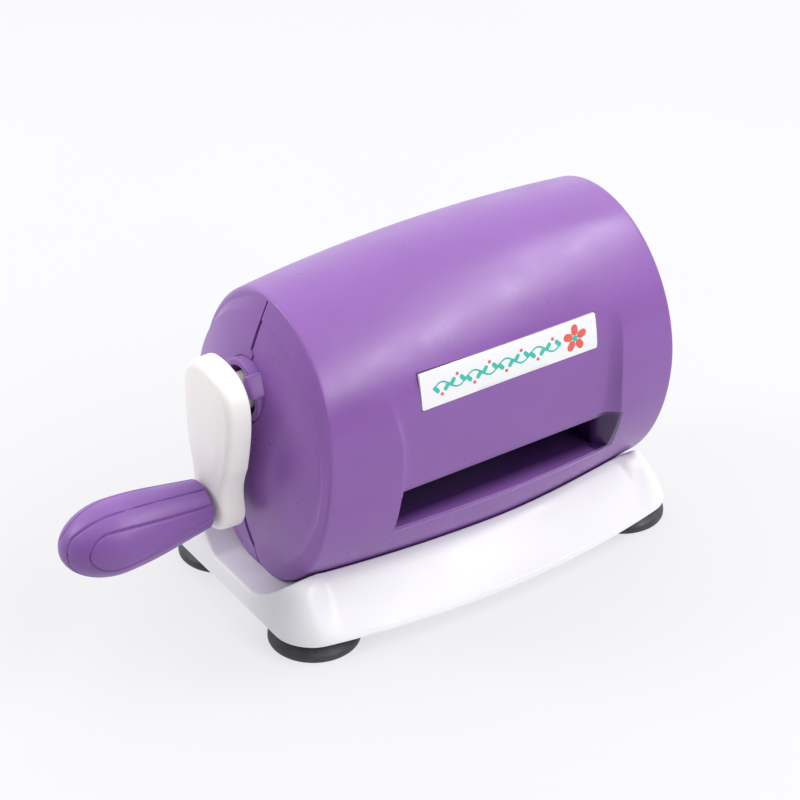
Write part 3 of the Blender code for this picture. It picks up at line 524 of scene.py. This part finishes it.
def recess_mask(x, z):
    """1 on the panel's floor, falling to 0 at its ridges and below the slot's mouth."""
    left = smooth((x - ridge_left(z)) / WALL_RUN)
    flare = np.clip((x - PANEL_RIGHT) / (ridge_right(z) - PANEL_RIGHT), 0.0, 1.0)
    right = 1 - flare**FLARE_POWER
    lower = smooth((z - SLOT_BOTTOM) / (SLOT_TOP - SLOT_BOTTOM))
    return left * right * lower


def pocket(x, z):
    """1 in the shallow pocket that the label sits in."""
    inside_x = np.minimum(x - POCKET_LEFT, POCKET_RIGHT - x)
    inside_z = np.minimum(z - POCKET_BOTTOM, POCKET_TOP - z)
    return np.clip(np.minimum(inside_x, inside_z) / POCKET_EDGE, 0.0, 1.0)


def skin_y(x, z):
    """How far the finished front skin stands from the middle plane."""
    barrel = half_width(x, z)
    depth = soft_positive(barrel - panel_y(z), PANEL_BLEND)
    fading = depth * smooth((PANEL_TOP - z) / (PANEL_TOP - PANEL_FADE))
    depth = np.where(z > PANEL_FADE, fading, depth)
    return barrel - depth * recess_mask(x, z) - POCKET_DEPTH * pocket(x, z)


# ------------------------------------------------------------------ housing skins
LEVELS = steps(
    ARC_END_Z, 6, POCKET_TOP, 1, POCKET_TOP - POCKET_EDGE, 10, POCKET_BOTTOM + POCKET_EDGE, 1, POCKET_BOTTOM,
    22, SLOT_TOP + 0.6, 1, SLOT_TOP, 9, SLOT_BOTTOM, 1, SLOT_BOTTOM - 0.8, 22, HOUSING_BOTTOM,
)
ARC_ROWS = 26
COLUMN_COUNTS = (2, 2, 2, 18, 3, 6, 3, 1, 38, 1, 2, 10, 2, 12, 2, 2, 2)


def skin_rows():
    """Every row of the skin as a function from x to (y, z), from the top seam down to the bottom edge."""
    rows = []

    def arc_row(share):
        def point(x):
            top = RISE * girth(x)
            angle = share * np.arccos((ARC_END_Z - AXIS_Z) / top)
            z = AXIS_Z + top * np.cos(angle)
            return np.maximum(HALF_WIDTH * girth(x) * np.sin(angle), SEAM * 0.2), z

        return point

    def level_row(z):
        return lambda x: (skin_y(x, np.full_like(x, z)), np.full_like(x, z))

    for j in range(ARC_ROWS):
        rows.append(arc_row(j / ARC_ROWS))
    for z in LEVELS:
        rows.append(level_row(z))
    return rows


def columns(z):
    """The skin's x places at a height, thickened at the panel's ridges and the rims."""
    left, right = left_rim_x(z), right_rim_x(z)
    ridge, flare = float(ridge_left(z)), float(ridge_right(z))
    stops = (
        left + 0.2, left + 1.0, left + 3.5, ridge - 1.5, ridge, ridge + WALL_RUN,
        POCKET_LEFT, POCKET_LEFT + POCKET_EDGE, POCKET_RIGHT - POCKET_EDGE, POCKET_RIGHT,
        PANEL_RIGHT, flare, flare + 1.2, right - 3.5, right - 1.0, right - 0.2, right,
    )
    return steps(left, *(value for pair in zip(COLUMN_COUNTS, stops) for value in pair))


LEFT_RIDGE_COLUMN = sum(COLUMN_COUNTS[:5])
RIGHT_RIDGE_COLUMN = sum(COLUMN_COUNTS[:12])


def rolled_edge(x, y, z, side):
    """How far the barrel rolls in at its ends: tight at the front and right, soft at the rear's left."""
    def roll(distance, radius):
        short = np.clip(radius - distance, 0.0, radius)
        return radius - np.sqrt(radius * radius - short * short)

    left_radius = 1.0 if side < 0 else 1.0 + 2.5 * smooth((y - 2) / 22)
    return roll(x - left_rim_x(z), left_radius) + roll(right_rim_x(z) - x, 1.0)


def build_skin(side, face):
    """Barrel skin, both ends and the slot's tunnel as one open surface, thickened inwards."""
    rows = skin_rows()
    grid = []
    for j, row in enumerate(rows):
        z = LEVELS[max(0, j - ARC_ROWS)]
        level = columns(z)
        x = level
        if j < ARC_ROWS:
            # The rims lean, so a row's ends follow the height that the row itself reaches there.
            along = (level - level[0]) / (level[-1] - level[0])
            for _ in range(3):
                heights = row(x)[1]
                lean_left = left_rim_x(heights) - left_rim_x(z)
                lean_right = right_rim_x(heights) - right_rim_x(z)
                x = level + lean_left * (1 - along) + lean_right * along
        y, heights = row(x)
        if side > 0:
            # The rear has no label, so no pocket.
            y = y + POCKET_DEPTH * pocket(x, heights)
        inset = rolled_edge(x, y, heights, side) / HALF_WIDTH
        y = y * (1 - inset)
        heights = heights - (heights - AXIS_Z) * inset * smooth((heights - 16) / 20)
        grid.append([(float(a), side * float(b), float(c)) for a, b, c in zip(x, y, heights)])
    left, right = LEFT_RIDGE_COLUMN, RIGHT_RIDGE_COLUMN
    top = ARC_ROWS + int(np.argmin(np.abs(LEVELS - SLOT_TOP)))
    bottom = ARC_ROWS + int(np.argmin(np.abs(LEVELS - SLOT_BOTTOM)))
    points = [p for row in grid for p in row]
    faces = grid_faces(len(grid), len(grid[0]), skip=lambda j, i: top <= j < bottom and left <= i < right)
    add_tunnel(points, faces, grid, side, (top, bottom, left, right))
    add_end(points, faces, [row[0] for row in grid], side, left=True)
    add_end(points, faces, [row[-1] for row in grid], side, left=False)
    obj = to_object(f"{face}_skin", points, faces, angle=50)
    thicken(obj, SKIN)
    apply_modifiers(obj)
    obj.data.set_sharp_from_angle(angle=math.radians(50))
    return obj


def add_tunnel(points, faces, grid, side, hole):
    """The slot's walls: from the mouth's edge inwards, narrowing to the straight feed tunnel."""
    top, bottom, left, right = hole
    loop = [(top, i) for i in range(left, right)]
    loop += [(j, right) for j in range(top, bottom)]
    loop += [(bottom, i) for i in range(right, left, -1)]
    loop += [(j, left) for j in range(bottom, top, -1)]
    mouth = [Vector(grid[j][i]) for j, i in loop]
    inner = []
    for point in mouth:
        x = min(max(point.x, PANEL_LEFT - 1.0), PANEL_RIGHT)
        inner.append(Vector((x, side * (TUNNEL_END + 1.5), point.z)))
    start = len(points)
    shares = (0.0, 0.06, 0.16, 0.4, 0.7, 1.0)
    rings = [[a.lerp(b, s) for a, b in zip(mouth, inner)] for s in shares]
    rings.append([Vector((p.x, side * TUNNEL_END, p.z)) for p in inner])
    count = len(loop)
    for ring in rings:
        points.extend(tuple(p) for p in ring)
    for face in grid_faces(len(rings), count, close_columns=True):
        faces.append(tuple(start + i for i in face))


def end_point(y, z, share, rim, left):
    """An end cap's point between its rim (share 0) and the collar's hole or its middle (share 1)."""
    scale = 1.0 if left else RIGHT_FACE_SCALE
    reach = math.hypot(y / FACE_HALF_WIDTH, (z - FACE_Z) / FACE_HALF_HEIGHT)
    face_y, face_z = y / reach * scale, FACE_Z + (z - FACE_Z) / reach * scale
    if share <= BAND:
        t = share / BAND
        return rim + (face_x(face_z, left) - rim) * t, y + (face_y - y) * t, z + (face_z - z) * t
    hub_radius, hub_z = (COLLAR_HOLE, CRANK_Z) if left else (RIGHT_HUB, FACE_Z)
    angle = math.atan2(z - FACE_Z, y)
    hub = (hub_radius * math.cos(angle), hub_z + hub_radius * math.sin(angle))
    t = (share - BAND) / (1 - BAND)
    py, pz = face_y + (hub[0] - face_y) * t, face_z + (hub[1] - face_z) * t
    rho = min(1.0, math.hypot(py / FACE_HALF_WIDTH, (pz - FACE_Z) / FACE_HALF_HEIGHT))
    if left:
        # The front half's face stands a little behind its band.
        step = 0.7 * float(smooth(t / 0.035)) if y < 0 else 0.0
        return face_x(pz, left) - LEFT_DOME * (1 - rho**2.4) + step, py, pz
    return face_x(pz, left) + RIGHT_DOME * (1 - rho**2.4), py, pz


def face_x(z, left):
    """Where the edge of an end's flat face lies: the left one leans, the right one follows its rim."""
    if left:
        return LEFT_FACE_X - LEFT_FACE_LEAN * (LEFT_FACE_TOP - z)
    return right_rim_x(z) + RIGHT_FACE_OUT


END_SHARES = (
    0.0, 0.012, 0.035, 0.09, 0.15, 0.2, 0.213, BAND, 0.228, 0.245, 0.29,
    0.36, 0.44, 0.52, 0.6, 0.68, 0.76, 0.84, 0.92, 0.97, 1.0,
)


def add_end(points, faces, outline, side, left):
    """An end cap that starts at the barrel's rim and runs in to the collar's hole, or to the middle."""
    gap = END_SEAM if left else SEAM * 0.5
    last = outline[-1]
    bottom = [(last[0], last[1] * (1 - t), last[2]) for t in (0.2, 0.4, 0.6, 0.8)]
    bottom.append((last[0], side * SEAM, last[2]))
    ring = [(x, y if abs(y) > SEAM else side * SEAM, z) for x, y, z in outline + bottom]
    start = len(points)
    for x, y, z in ring:
        for share in END_SHARES:
            px, py, pz = end_point(y, z, share, x, left)
            points.append((px, side * max(abs(py), gap), pz))
    for face in grid_faces(len(ring), len(END_SHARES)):
        faces.append(tuple(start + i for i in face))


def build_housing():
    for side, face in ((-1, "front"), (1, "rear")):
        skin = build_skin(side, face)
        if side > 0:
            cut_screw_wells(skin)
        finish_piece(skin, PURPLE, "housing", [f"{face}_shell"])
    build_collar()
    build_label()


def cut_screw_wells(skin):
    """The holes in the rear skin down to the screws that join the two shells, each with a lined well."""
    outer, inner = WELL_RADIUS, WELL_RADIUS - WELL_WALL
    cut = outer + 0.05
    for name in ("shell_screw_left", "shell_screw_right"):
        low, high = span(name)
        x, z = (low.x + high.x) / 2, (low.z + high.z) / 2
        tool = lathe(f"{name}_well_cut", ((0, 8), (cut, 8), (cut, 60), (0, 60)), (x, 0, z), "Y", 40)
        hole = skin.modifiers.new("well", "BOOLEAN")
        hole.object = tool
        hole.operation = "DIFFERENCE"
        apply_modifiers(skin)
        bpy.data.objects.remove(tool)
        surface = float(half_width(np.array(x), np.array(z + 4.5)))
        floor, mouth = high.y + 0.4, surface - 1.2
        profile = ((inner, floor), (inner, mouth), (outer, mouth + 0.3), (outer, floor))
        well = lathe(name.replace("screw", "well"), rounded(profile, 0.3), (x, 0, z), "Y", 40)
        finish_piece(well, PURPLE, "housing")
    skin.data.set_sharp_from_angle(angle=math.radians(50))


def build_collar():
    """The ring that the crank's hub turns in, and the small block on it that stops it turning."""
    back, tip = COLLAR_HIGH.x, COLLAR_LOW.x
    ring_tip, outer, bore = tip + LUG_REACH, COLLAR_RADIUS, COLLAR_BORE
    corners = ((bore, back), (outer, back), (outer, ring_tip), (bore, ring_tip), (bore, back - 0.4))
    ring = lathe("crank_collar_ring", rounded(corners, 1.1, 4), (0, 0, CRANK_Z), "X", 120)
    finish_piece(ring, PURPLE, "housing", ["crank_collar"])
    turn = math.radians(LUG_TURN)
    outward, around = (math.cos(turn), math.sin(turn)), (-math.sin(turn), math.cos(turn))
    rings = []
    for x, inset in ((LUG_BACK_X, 0.0), (tip + 1.2, 0.0), (tip + 0.4, 0.35), (tip, 1.1)):
        low = (outer + 0.1 - LUG_THICKNESS, inset - LUG_HALF_WIDTH)
        high = (outer + 0.1 - inset, LUG_HALF_WIDTH - inset)
        rings.append([
            (x, y * outward[0] + z * around[0], CRANK_Z + y * outward[1] + z * around[1])
            for y, z in plate_outline(low, high, 1.1, 5)
        ])
    finish_piece(lofted("crank_collar_lug", rings, 50), PURPLE, "housing")


# ------------------------------------------------------------------ label
def on_panel(x, z, lift):
    """A point over the front panel, lift millimetres in front of the label's face."""
    return (x, -(float(panel_y(z)) + 0.25 + lift), z)


def plate_outline(low, high, radius, cuts=6):
    """A rounded rectangle in x and z."""
    points = []
    corners = ((high[0], high[1], 0), (low[0], high[1], 90), (low[0], low[1], 180), (high[0], low[1], 270))
    for x, z, turn in corners:
        cx = x + (radius if x == low[0] else -radius)
        cz = z + (radius if z == low[1] else -radius)
        for i in range(cuts + 1):
            angle = math.radians(turn + 90 * i / cuts)
            points.append((cx + radius * math.cos(angle), cz + radius * math.sin(angle)))
    return points


def draped(outline, back, front, edge=0.25):
    """Rings of a thin plate over an (x, z) outline that follows the panel's bend, its front edge rounded."""
    cx = sum(x for x, z in outline) / len(outline)
    cz = sum(z for x, z in outline) / len(outline)

    def ring(inset, lift):
        out = []
        for x, z in outline:
            reach = math.hypot(x - cx, z - cz)
            share = max(0.0, 1 - inset / max(reach, 1e-6))
            out.append(on_panel(cx + (x - cx) * share, cz + (z - cz) * share, lift))
        return out

    return [ring(0, back), ring(0, front - edge), ring(edge * 0.3, front - edge * 0.3), ring(edge, front)]


def build_label():
    low, high = span("label_plate")
    corners = ((low.x, low.z), (high.x, high.z))
    outline = []
    base = plate_outline(*corners, 0.6)
    for (x0, z0), (x1, z1) in zip(base, base[1:] + base[:1]):
        count = max(1, int(math.hypot(x1 - x0, z1 - z0) / 2.5))
        outline += [(x0 + (x1 - x0) * i / count, z0 + (z1 - z0) * i / count) for i in range(count)]
    rings = draped(outline, -1.15, 0.0)
    middle = (corners[0][1] + corners[1][1]) / 2
    for share in (0.75, 0.5, 0.25, 0.05):
        rings.append([on_panel(x, middle + (z - middle) * share, 0.0) for x, z in outline])
    plate = lofted("label_face", rings, 50)
    finish_piece(plate, LABEL_WHITE, "housing", ["label_plate"])
    build_motif(corners)


def build_motif(corners):
    """A plain decoration: a wavy stem with leaves and dots in its bends, and a flower of five petals."""
    (x0, z0), (x1, z1) = corners
    middle = (z0 + z1) / 2
    start, end, waves, swing = x0 + 6.0, x1 - 19.0, 4, 2.1
    wave = (end - start) / waves

    def stem(x):
        return middle + swing * math.sin(2 * math.pi * (x - start) / wave)

    sprig, bloom = [], []
    count = 72
    for i in range(count):
        x, step = start + (end - start) * (i + 0.5) / count, (end - start) / count
        rise = stem(x + step / 2) - stem(x - step / 2)
        sprig.append(dash(x, stem(x), math.hypot(step, rise), 0.34, math.atan2(rise, step), 3))
    for i in range(2 * waves):
        x = start + wave * (0.25 + 0.5 * i)
        up = 1 if i % 2 == 0 else -1
        sprig.append(dash(x - 2.6, middle - 0.6 * up, 2.0, 0.95, math.radians(-48 * up)))
        sprig.append(dash(x + 2.6, middle - 0.6 * up, 2.0, 0.95, math.radians(48 * up)))
        bloom.append(dash(x, middle - 3.2 * up, 0.01, 0.75, 0.0))
    flower = (x1 - 11.5, middle)
    for i in range(5):
        angle = math.pi / 2 + 2 * math.pi * i / 5
        centre = (flower[0] + 3.7 * math.cos(angle), flower[1] + 3.7 * math.sin(angle))
        bloom.append(dash(*centre, 1.4, 1.7, angle))
    sprig.append(dash(*flower, 0.01, 1.3, 0.0))
    for name, marks, ink in (("label_sprig", sprig, INK), ("label_flower", bloom, CORAL_INK)):
        points, faces = [], []
        for outline in marks:
            first, size = len(points), len(outline)
            points += [on_panel(x, z, lift) for lift in (-0.1, 0.07) for x, z in outline]
            faces += [tuple(first + i for i in face) for face in grid_faces(2, size, close_columns=True)]
            faces.append(tuple(range(first, first + size)))
            faces.append(tuple(range(first + size, first + 2 * size)))
        finish_piece(to_object(name, points, faces, 30), ink, "housing")


def dash(x, z, length, radius, angle, cuts=8):
    """A round-ended stroke's outline."""
    out = []
    for end in (1, -1):
        for i in range(cuts + 1):
            turn = -math.pi / 2 + math.pi * i / cuts
            a, b = end * (length / 2 + radius * math.cos(turn)), end * radius * math.sin(turn)
            across = a * math.cos(angle) - b * math.sin(angle)
            out.append((x + across, z + a * math.sin(angle) + b * math.cos(angle)))
    return out


# ------------------------------------------------------------------ base
def cradle_height(x, y):
    """The height of the base's top where it dips to take the housing, down to the flat deck."""
    shape_x = np.clip(x, *CRADLE_ENDS)
    scale = girth(shape_x)
    power = fullness(shape_x)
    share = np.clip(np.abs(y) / (HALF_WIDTH * scale + CRADLE_GAP), 0.0, 1.0)
    z = AXIS_Z - (DROP * scale + CRADLE_GAP) * (1 - share**power) ** (1 / power)
    return np.maximum(z, DECK_TOP)


def base_rim(angle):
    """How far a ray from the middle runs to the base's lower edge."""
    c, s = math.cos(angle), math.sin(angle)
    low, high = 10.0, 140.0
    for _ in range(40):
        reach = (low + high) / 2
        if plan_distance(reach * c, reach * s) > 0:
            low = reach
        else:
            high = reach
    return low


def base_surfaces(x, y):
    """The heights of the base's outer form and of its cradle above plan points."""
    climb = np.clip(plan_distance(x, y) / wall_run(x, y), 0.0, 4.0) ** (1 / 1.15)
    wall = BASE_LOW.z + (BASE_HIGH.z - BASE_LOW.z) * climb
    top = BASE_HIGH.z - BASE_RIGHT_DROP * smooth((x - 78) / 20)
    return soft_min(wall, top, BASE_EDGE), cradle_height(x, y)


def build_base():
    """A pillow-edged tray: its outer wall leans in, and its top dips into a cradle for the housing."""
    sides = 420
    low = BASE_LOW.z
    rims = []
    for i in range(sides):
        angle = 2 * math.pi * (i + 0.5) / sides
        reach = base_rim(angle)
        rims.append((math.cos(angle) * reach, math.sin(angle) * reach))
    rims = np.array(rims)
    # Each ray's rows crowd round the edge where the outer form gives way to the cradle.
    probe = np.linspace(0.0, 0.6, 1201)[:, None]
    outer, cradle = base_surfaces(rims[:, 0] * (1 - probe), rims[:, 1] * (1 - probe))
    edge = probe[np.argmax(cradle < outer, axis=0), 0]
    shares = [edge * (0.5 - 0.5 * math.cos(math.pi * k / 30)) for k in range(30)]
    shares += [edge + (0.98 - edge) * ((k + 1) / 34) ** 2 for k in range(34)]
    rings = []
    for share in shares:
        x, y = rims[:, 0] * (1 - share), rims[:, 1] * (1 - share)
        outer, cradle = base_surfaces(x, y)
        roll = 0.6 + 4.4 * smooth((np.abs(x + 4) - 78) / 20)
        z = soft_min(outer, cradle, roll)
        rings.append([(float(a), float(b), float(c)) for a, b, c in zip(x, y, z)])
    under = [(x * 0.985, y * 0.978, low) for x, y, _ in rings[0]]
    inner = [(x * 0.975, y * 0.965, low + 0.4) for x, y, _ in rings[0]]
    rings = [inner, under] + rings
    points = [p for ring in rings for p in ring]
    faces = grid_faces(len(rings), sides, close_columns=True)
    faces.append(tuple(range(len(points) - sides, len(points))))
    obj = to_object("base_skin", points, faces, 60)
    thicken(obj, BASE_SKIN)
    apply_modifiers(obj)
    obj.data.set_sharp_from_angle(angle=math.radians(60))
    finish_piece(obj, WHITE, "housing", ["base_shell"])


def side_y(x):
    """Half the base's width at a place along it: its sides bow."""
    return BASE_HALF_WIDTH - BASE_BOW * (x / 95) ** 2


def plan_distance(x, y):
    """How far inside the base's lower edge a plan point lies: bowed sides, straight ends, round corners."""
    a = np.abs(x) - BASE_CORNER_START
    b = np.abs(y) - (side_y(x) - BASE_CORNER)
    corner = BASE_CORNER - np.hypot(np.maximum(a, 0), np.maximum(b, 0))
    flat = BASE_CORNER - np.maximum(a, b)
    return np.maximum(0.0, np.where((a > 0) & (b > 0), corner, flat))


def wall_run(x, y):
    """How far in from the edge the wall reaches full height: long on the sides, short at the ends."""
    low = side_y(x)
    high = half_width(np.clip(x, *CRADLE_ENDS), np.full_like(x, BASE_HIGH.z)) + 2.2
    a = np.maximum(np.abs(x) - (BASE_HALF_LENGTH - BASE_CORNER * 1.6), 0.0)
    b = np.maximum(np.abs(y) - (low - BASE_CORNER * 1.6), 0.0)
    toward_end = a / np.maximum(a + b, 1e-6)
    return (low - high) * (1 - toward_end) + BASE_END_RUN * toward_end


def build_feet():
    for name in FEET:
        low, high = span(name)
        radius = (high.x - low.x) / 2
        centre = ((low.x + high.x) / 2, (low.y + high.y) / 2, 0)
        profile = rounded((
            (0, 3.2), (radius - 6, 1.6), (radius - 1.5, 0.0), (radius, 0.0),
            (radius - 0.1, 2.6), (radius - 4.5, 6.6), (radius - 8, 7.7), (4.8, 7.8),
            (4.8, 10.4), (6.1, 10.7), (5.0, 13.0), (0, 13.0),
        ), 1.2, 5)
        foot = lathe(f"{name}_rubber", profile, centre, "Z", 96)
        finish_piece(foot, RUBBER, "housing", [name])


# ------------------------------------------------------------------ crank arm and grip
def arm_half_width(z):
    """Half the arm's front width at a height above the grip's axis."""
    if z > REACH:
        share = min(1.0, (z - REACH) / HUB_TOP)
        return HUB_RADIUS * (1 - share**2.4) ** (1 / 2.4)
    if z < 0:
        return math.sqrt(max(0.0, TIP_RADIUS**2 - z**2))
    share = z / REACH
    neck = 1.6 * math.sin(math.pi * min(1.0, share * 2.2))
    return TIP_RADIUS + (HUB_RADIUS - TIP_RADIUS) * float(smooth(share)) - neck


def arm_outline(inset, rows=60):
    """The arm's (y, z) outline drawn in by inset, its points closest together at the two ends."""
    top, bottom = REACH + HUB_TOP, -TIP_RADIUS
    middle, half = (top + bottom) / 2, (top - bottom) / 2
    heights = [middle + half * math.cos(math.pi * i / rows) for i in range(rows + 1)]
    side = [(arm_half_width(z), z) for z in heights]
    front = [(-w, z) for w, z in side]
    rear = [(w * (1 - REAR_SHARE * float(smooth(z / REACH))), z) for w, z in side]
    ring = rear + front[-2:0:-1]
    out = []
    for i, (y, z) in enumerate(ring):
        (y0, z0), (y1, z1) = ring[i - 1], ring[(i + 1) % len(ring)]
        length = math.hypot(y1 - y0, z1 - z0) or 1.0
        out.append((y + (z1 - z0) / length * inset, z - (y1 - y0) / length * inset + HANDLE_Z))
    return out


def build_arm():
    """A pear-shaped arm with a soft outer edge, whose hub runs back into the collar."""
    inner, outer, edge, back = ARM_INNER, ARM_OUTER, ARM_EDGE, ARM_BACK_EDGE
    layers = []
    for i in range(5):
        turn = math.pi / 2 * i / 4
        layers.append((inner - back * (1 - math.cos(turn)), back * (1 - math.sin(turn))))
    for share in (0.35, 0.7):
        layers.append((inner - back - share * 6.5, 0.25 * share))
    for i in range(9):
        turn = math.pi / 2 * i / 8
        layers.append((outer + 1.0 + edge * (1 - math.sin(turn)), 0.4 + edge * (1 - math.cos(turn))))
    layers += [(outer + 0.7, 5.6), (outer + 0.35, 7.6), (outer + 0.1, 9.8)]
    rings = [[(x, y, z) for y, z in arm_outline(inset)] for x, inset in layers]
    hub = []
    stages = ((12.0, inner), (8.6, inner), (8.0, inner + 0.5), (8.0, -86.0), (7.4, -85.2), (5.6, -85.2))
    for radius, x in stages:
        ring = []
        for y, z in arm_outline(1.0):
            turn = math.atan2(z - CRANK_Z, y)
            ring.append((x, radius * math.cos(turn), CRANK_Z + radius * math.sin(turn)))
        hub.append(ring)
    hub.reverse()
    obj = lofted("crank_arm_body", hub + rings, 50)
    finish_piece(obj, ARM_WHITE, "crank", ["crank_arm"])


def grip_radius(x, near, far, bulb):
    """The grip's radius at x: an even taper that grows from the neck to the bulb, then a blunt round end."""
    along = (x - far) / (near - far)
    body = soft_min(GRIP_NECK + GRIP_SWELL * (1 - along), bulb, 2.0)
    closing = (GRIP_END - np.minimum(along, GRIP_END)) / GRIP_END
    return body * np.sqrt(np.clip(1 - closing**2.05, 0.0, 1.0))


def groove_depth(x, away, radius, far):
    """How deep the grooves are at a place along the grip, away radians from their middle line."""
    depth = 0.0
    for widest, start, run, loss in GROOVES:
        widest = math.radians(widest) * (1 - loss * max(0.0, x - far - NARROWING_START) / NARROWING_RUN)
        t = (x - far - start) / run
        if t <= 0:
            gap = math.hypot(radius * away, -t * run)
        else:
            curve = math.sqrt(max(1e-6, 1 - (1 - min(t, 1.0)) ** 2))
            slope = radius * widest * (1 - min(t, 1.0)) / (run * curve)
            gap = radius * (away - widest * curve) / math.sqrt(1 + slope * slope)
        depth = max(depth, GROOVE_DEPTH * math.exp(-((gap / GROOVE_SPREAD) ** 2)))
    return depth


def build_grip():
    """A bulb-ended grip with two nested grooves on its front and on its rear, closing at its free end."""
    low, high = span("handle_grip")
    far, near = low.x, high.x
    bulb = (high.y - low.y) / 2
    turned_end = (near - far) * 0.42
    lengths = np.concatenate([
        far + turned_end * (1 - np.cos(np.linspace(0.02, math.pi / 2, 104))),
        np.linspace(far + turned_end, near - 1.0, 100)[1:],
    ])
    sides = 264
    # The rear's grooves mirror the front's, and both are turned up a little.
    turn = math.radians(GROOVE_TURN)
    middles = (turn, math.pi - turn)

    def ring_at(x, radius, grooved=False):
        ring = []
        for i in range(sides):
            angle = 2 * math.pi * i / sides
            r = radius
            if grooved:
                away = min(abs(math.remainder(angle - middle, 2 * math.pi)) for middle in middles)
                r -= groove_depth(x, away, radius, far)
            ring.append((x, -r * math.cos(angle), HANDLE_Z + r * math.sin(angle)))
        return ring

    rings = [ring_at(far, 0.05)]
    for x in lengths:
        rings.append(ring_at(float(x), float(grip_radius(x, near, far, bulb)), grooved=True))
    mouth = ((near - 0.4, GRIP_NECK - 0.3), (near, GRIP_NECK - 1.2), (near, 6.2), (near - 8, 6.0))
    for x, radius in mouth:
        rings.append(ring_at(x, radius))
    obj = lofted("grip_body", rings, 60)
    finish_piece(obj, GRIP_PURPLE, "handle", ["handle_grip"])


# ------------------------------------------------------------------ studio
def area_light(name, towards, distance, size, power, along=(0, 0, 1)):
    """A soft box in a direction from the object, its long side lying as near to along as it can."""
    lamp = bpy.data.lights.new(name, "AREA")
    lamp.shape = "RECTANGLE"
    lamp.size, lamp.size_y = size
    lamp.energy = power
    facing = Vector(towards).normalized()
    across = Vector(along)
    across = (across - facing * across.dot(facing)).normalized()
    matrix = Matrix((across, facing.cross(across), facing)).transposed().to_4x4()
    matrix.translation = ORIGIN + Vector((0, 0, 0.08)) + facing * distance
    obj = bpy.data.objects.new(name, lamp)
    obj.matrix_world = matrix
    bpy.context.scene.collection.objects.link(obj)


def build_studio():
    work = bmesh.new()
    bmesh.ops.create_grid(work, x_segments=2, y_segments=2, size=6.0)
    data = bpy.data.meshes.new("floor")
    work.to_mesh(data)
    work.free()
    floor = bpy.data.objects.new("floor", data)
    bpy.context.scene.collection.objects.link(floor)
    material, tree, shader = new_material("floor_paper")
    tone = mix(tree, remap(tree, noise(tree, 3, 2), 0, 1), (0.196, 0.196, 0.199), (0.204, 0.204, 0.207))
    tree.links.new(tone, shader.inputs["Base Color"])
    shader.inputs["Roughness"].default_value = 0.9
    shader.inputs["Specular IOR Level"].default_value = 0.1
    shader.inputs["Emission Color"].default_value = LIGHT_TINT
    shader.inputs["Emission Strength"].default_value = FLOOR_GLOW
    floor.data.materials.append(material)
    build_sky()
    area_light("strip", (0.46, -0.52, 0.74), 2.4, (3.4, 0.2), STRIP, along=(0.4, 0.98, 0.18))
    area_light("rear_left", (-0.62, 0.5, 0.6), 1.4, (0.5, 0.5), REAR)
    bpy.context.scene.view_settings.view_transform = "Standard"


def build_sky():
    """Soft light from all round, stronger from above and behind than from the front."""
    world = bpy.data.worlds.new("studio")
    bpy.context.scene.world = world
    world.use_nodes = True
    tree = world.node_tree
    back = tree.nodes["Background"]
    back.inputs["Color"].default_value = LIGHT_TINT
    place = tree.nodes.new("ShaderNodeTexCoord")
    dot = tree.nodes.new("ShaderNodeVectorMath")
    dot.operation = "DOT_PRODUCT"
    dot.inputs[1].default_value = Vector(SKY_SIDE).normalized()
    tree.links.new(place.outputs["Generated"], dot.inputs[0])
    strength = remap(tree, dot.outputs["Value"], SKY_DARK, SKY_BRIGHT, -0.6, 0.9)
    tree.links.new(strength, back.inputs["Strength"])


def build_camera():
    """A long lens from the crank end's front corner, a little over 32 degrees above the table."""
    turn, rise = math.radians(CAMERA_TURN), math.radians(CAMERA_RISE)
    back = Vector((-math.sin(turn) * math.cos(rise), -math.cos(turn) * math.cos(rise), math.sin(rise)))
    right = Vector((math.cos(turn), -math.sin(turn), 0))
    up = back.cross(right)
    lens = bpy.data.cameras.new("camera")
    lens.lens = CAMERA_LENS
    lens.sensor_width = 36
    lens.clip_start = 0.01
    obj = bpy.data.objects.new("camera", lens)
    matrix = Matrix((right, up, back)).transposed().to_4x4()
    middle = ORIGIN + right * CAMERA_ACROSS + up * CAMERA_ABOVE
    matrix.translation = middle + back * CAMERA_DISTANCE
    obj.matrix_world = matrix
    bpy.context.scene.collection.objects.link(obj)
    bpy.context.scene.camera = obj


finish_packed_nodes()
build_housing()
build_base()
build_feet()
build_arm()
build_grip()
build_studio()
build_camera()
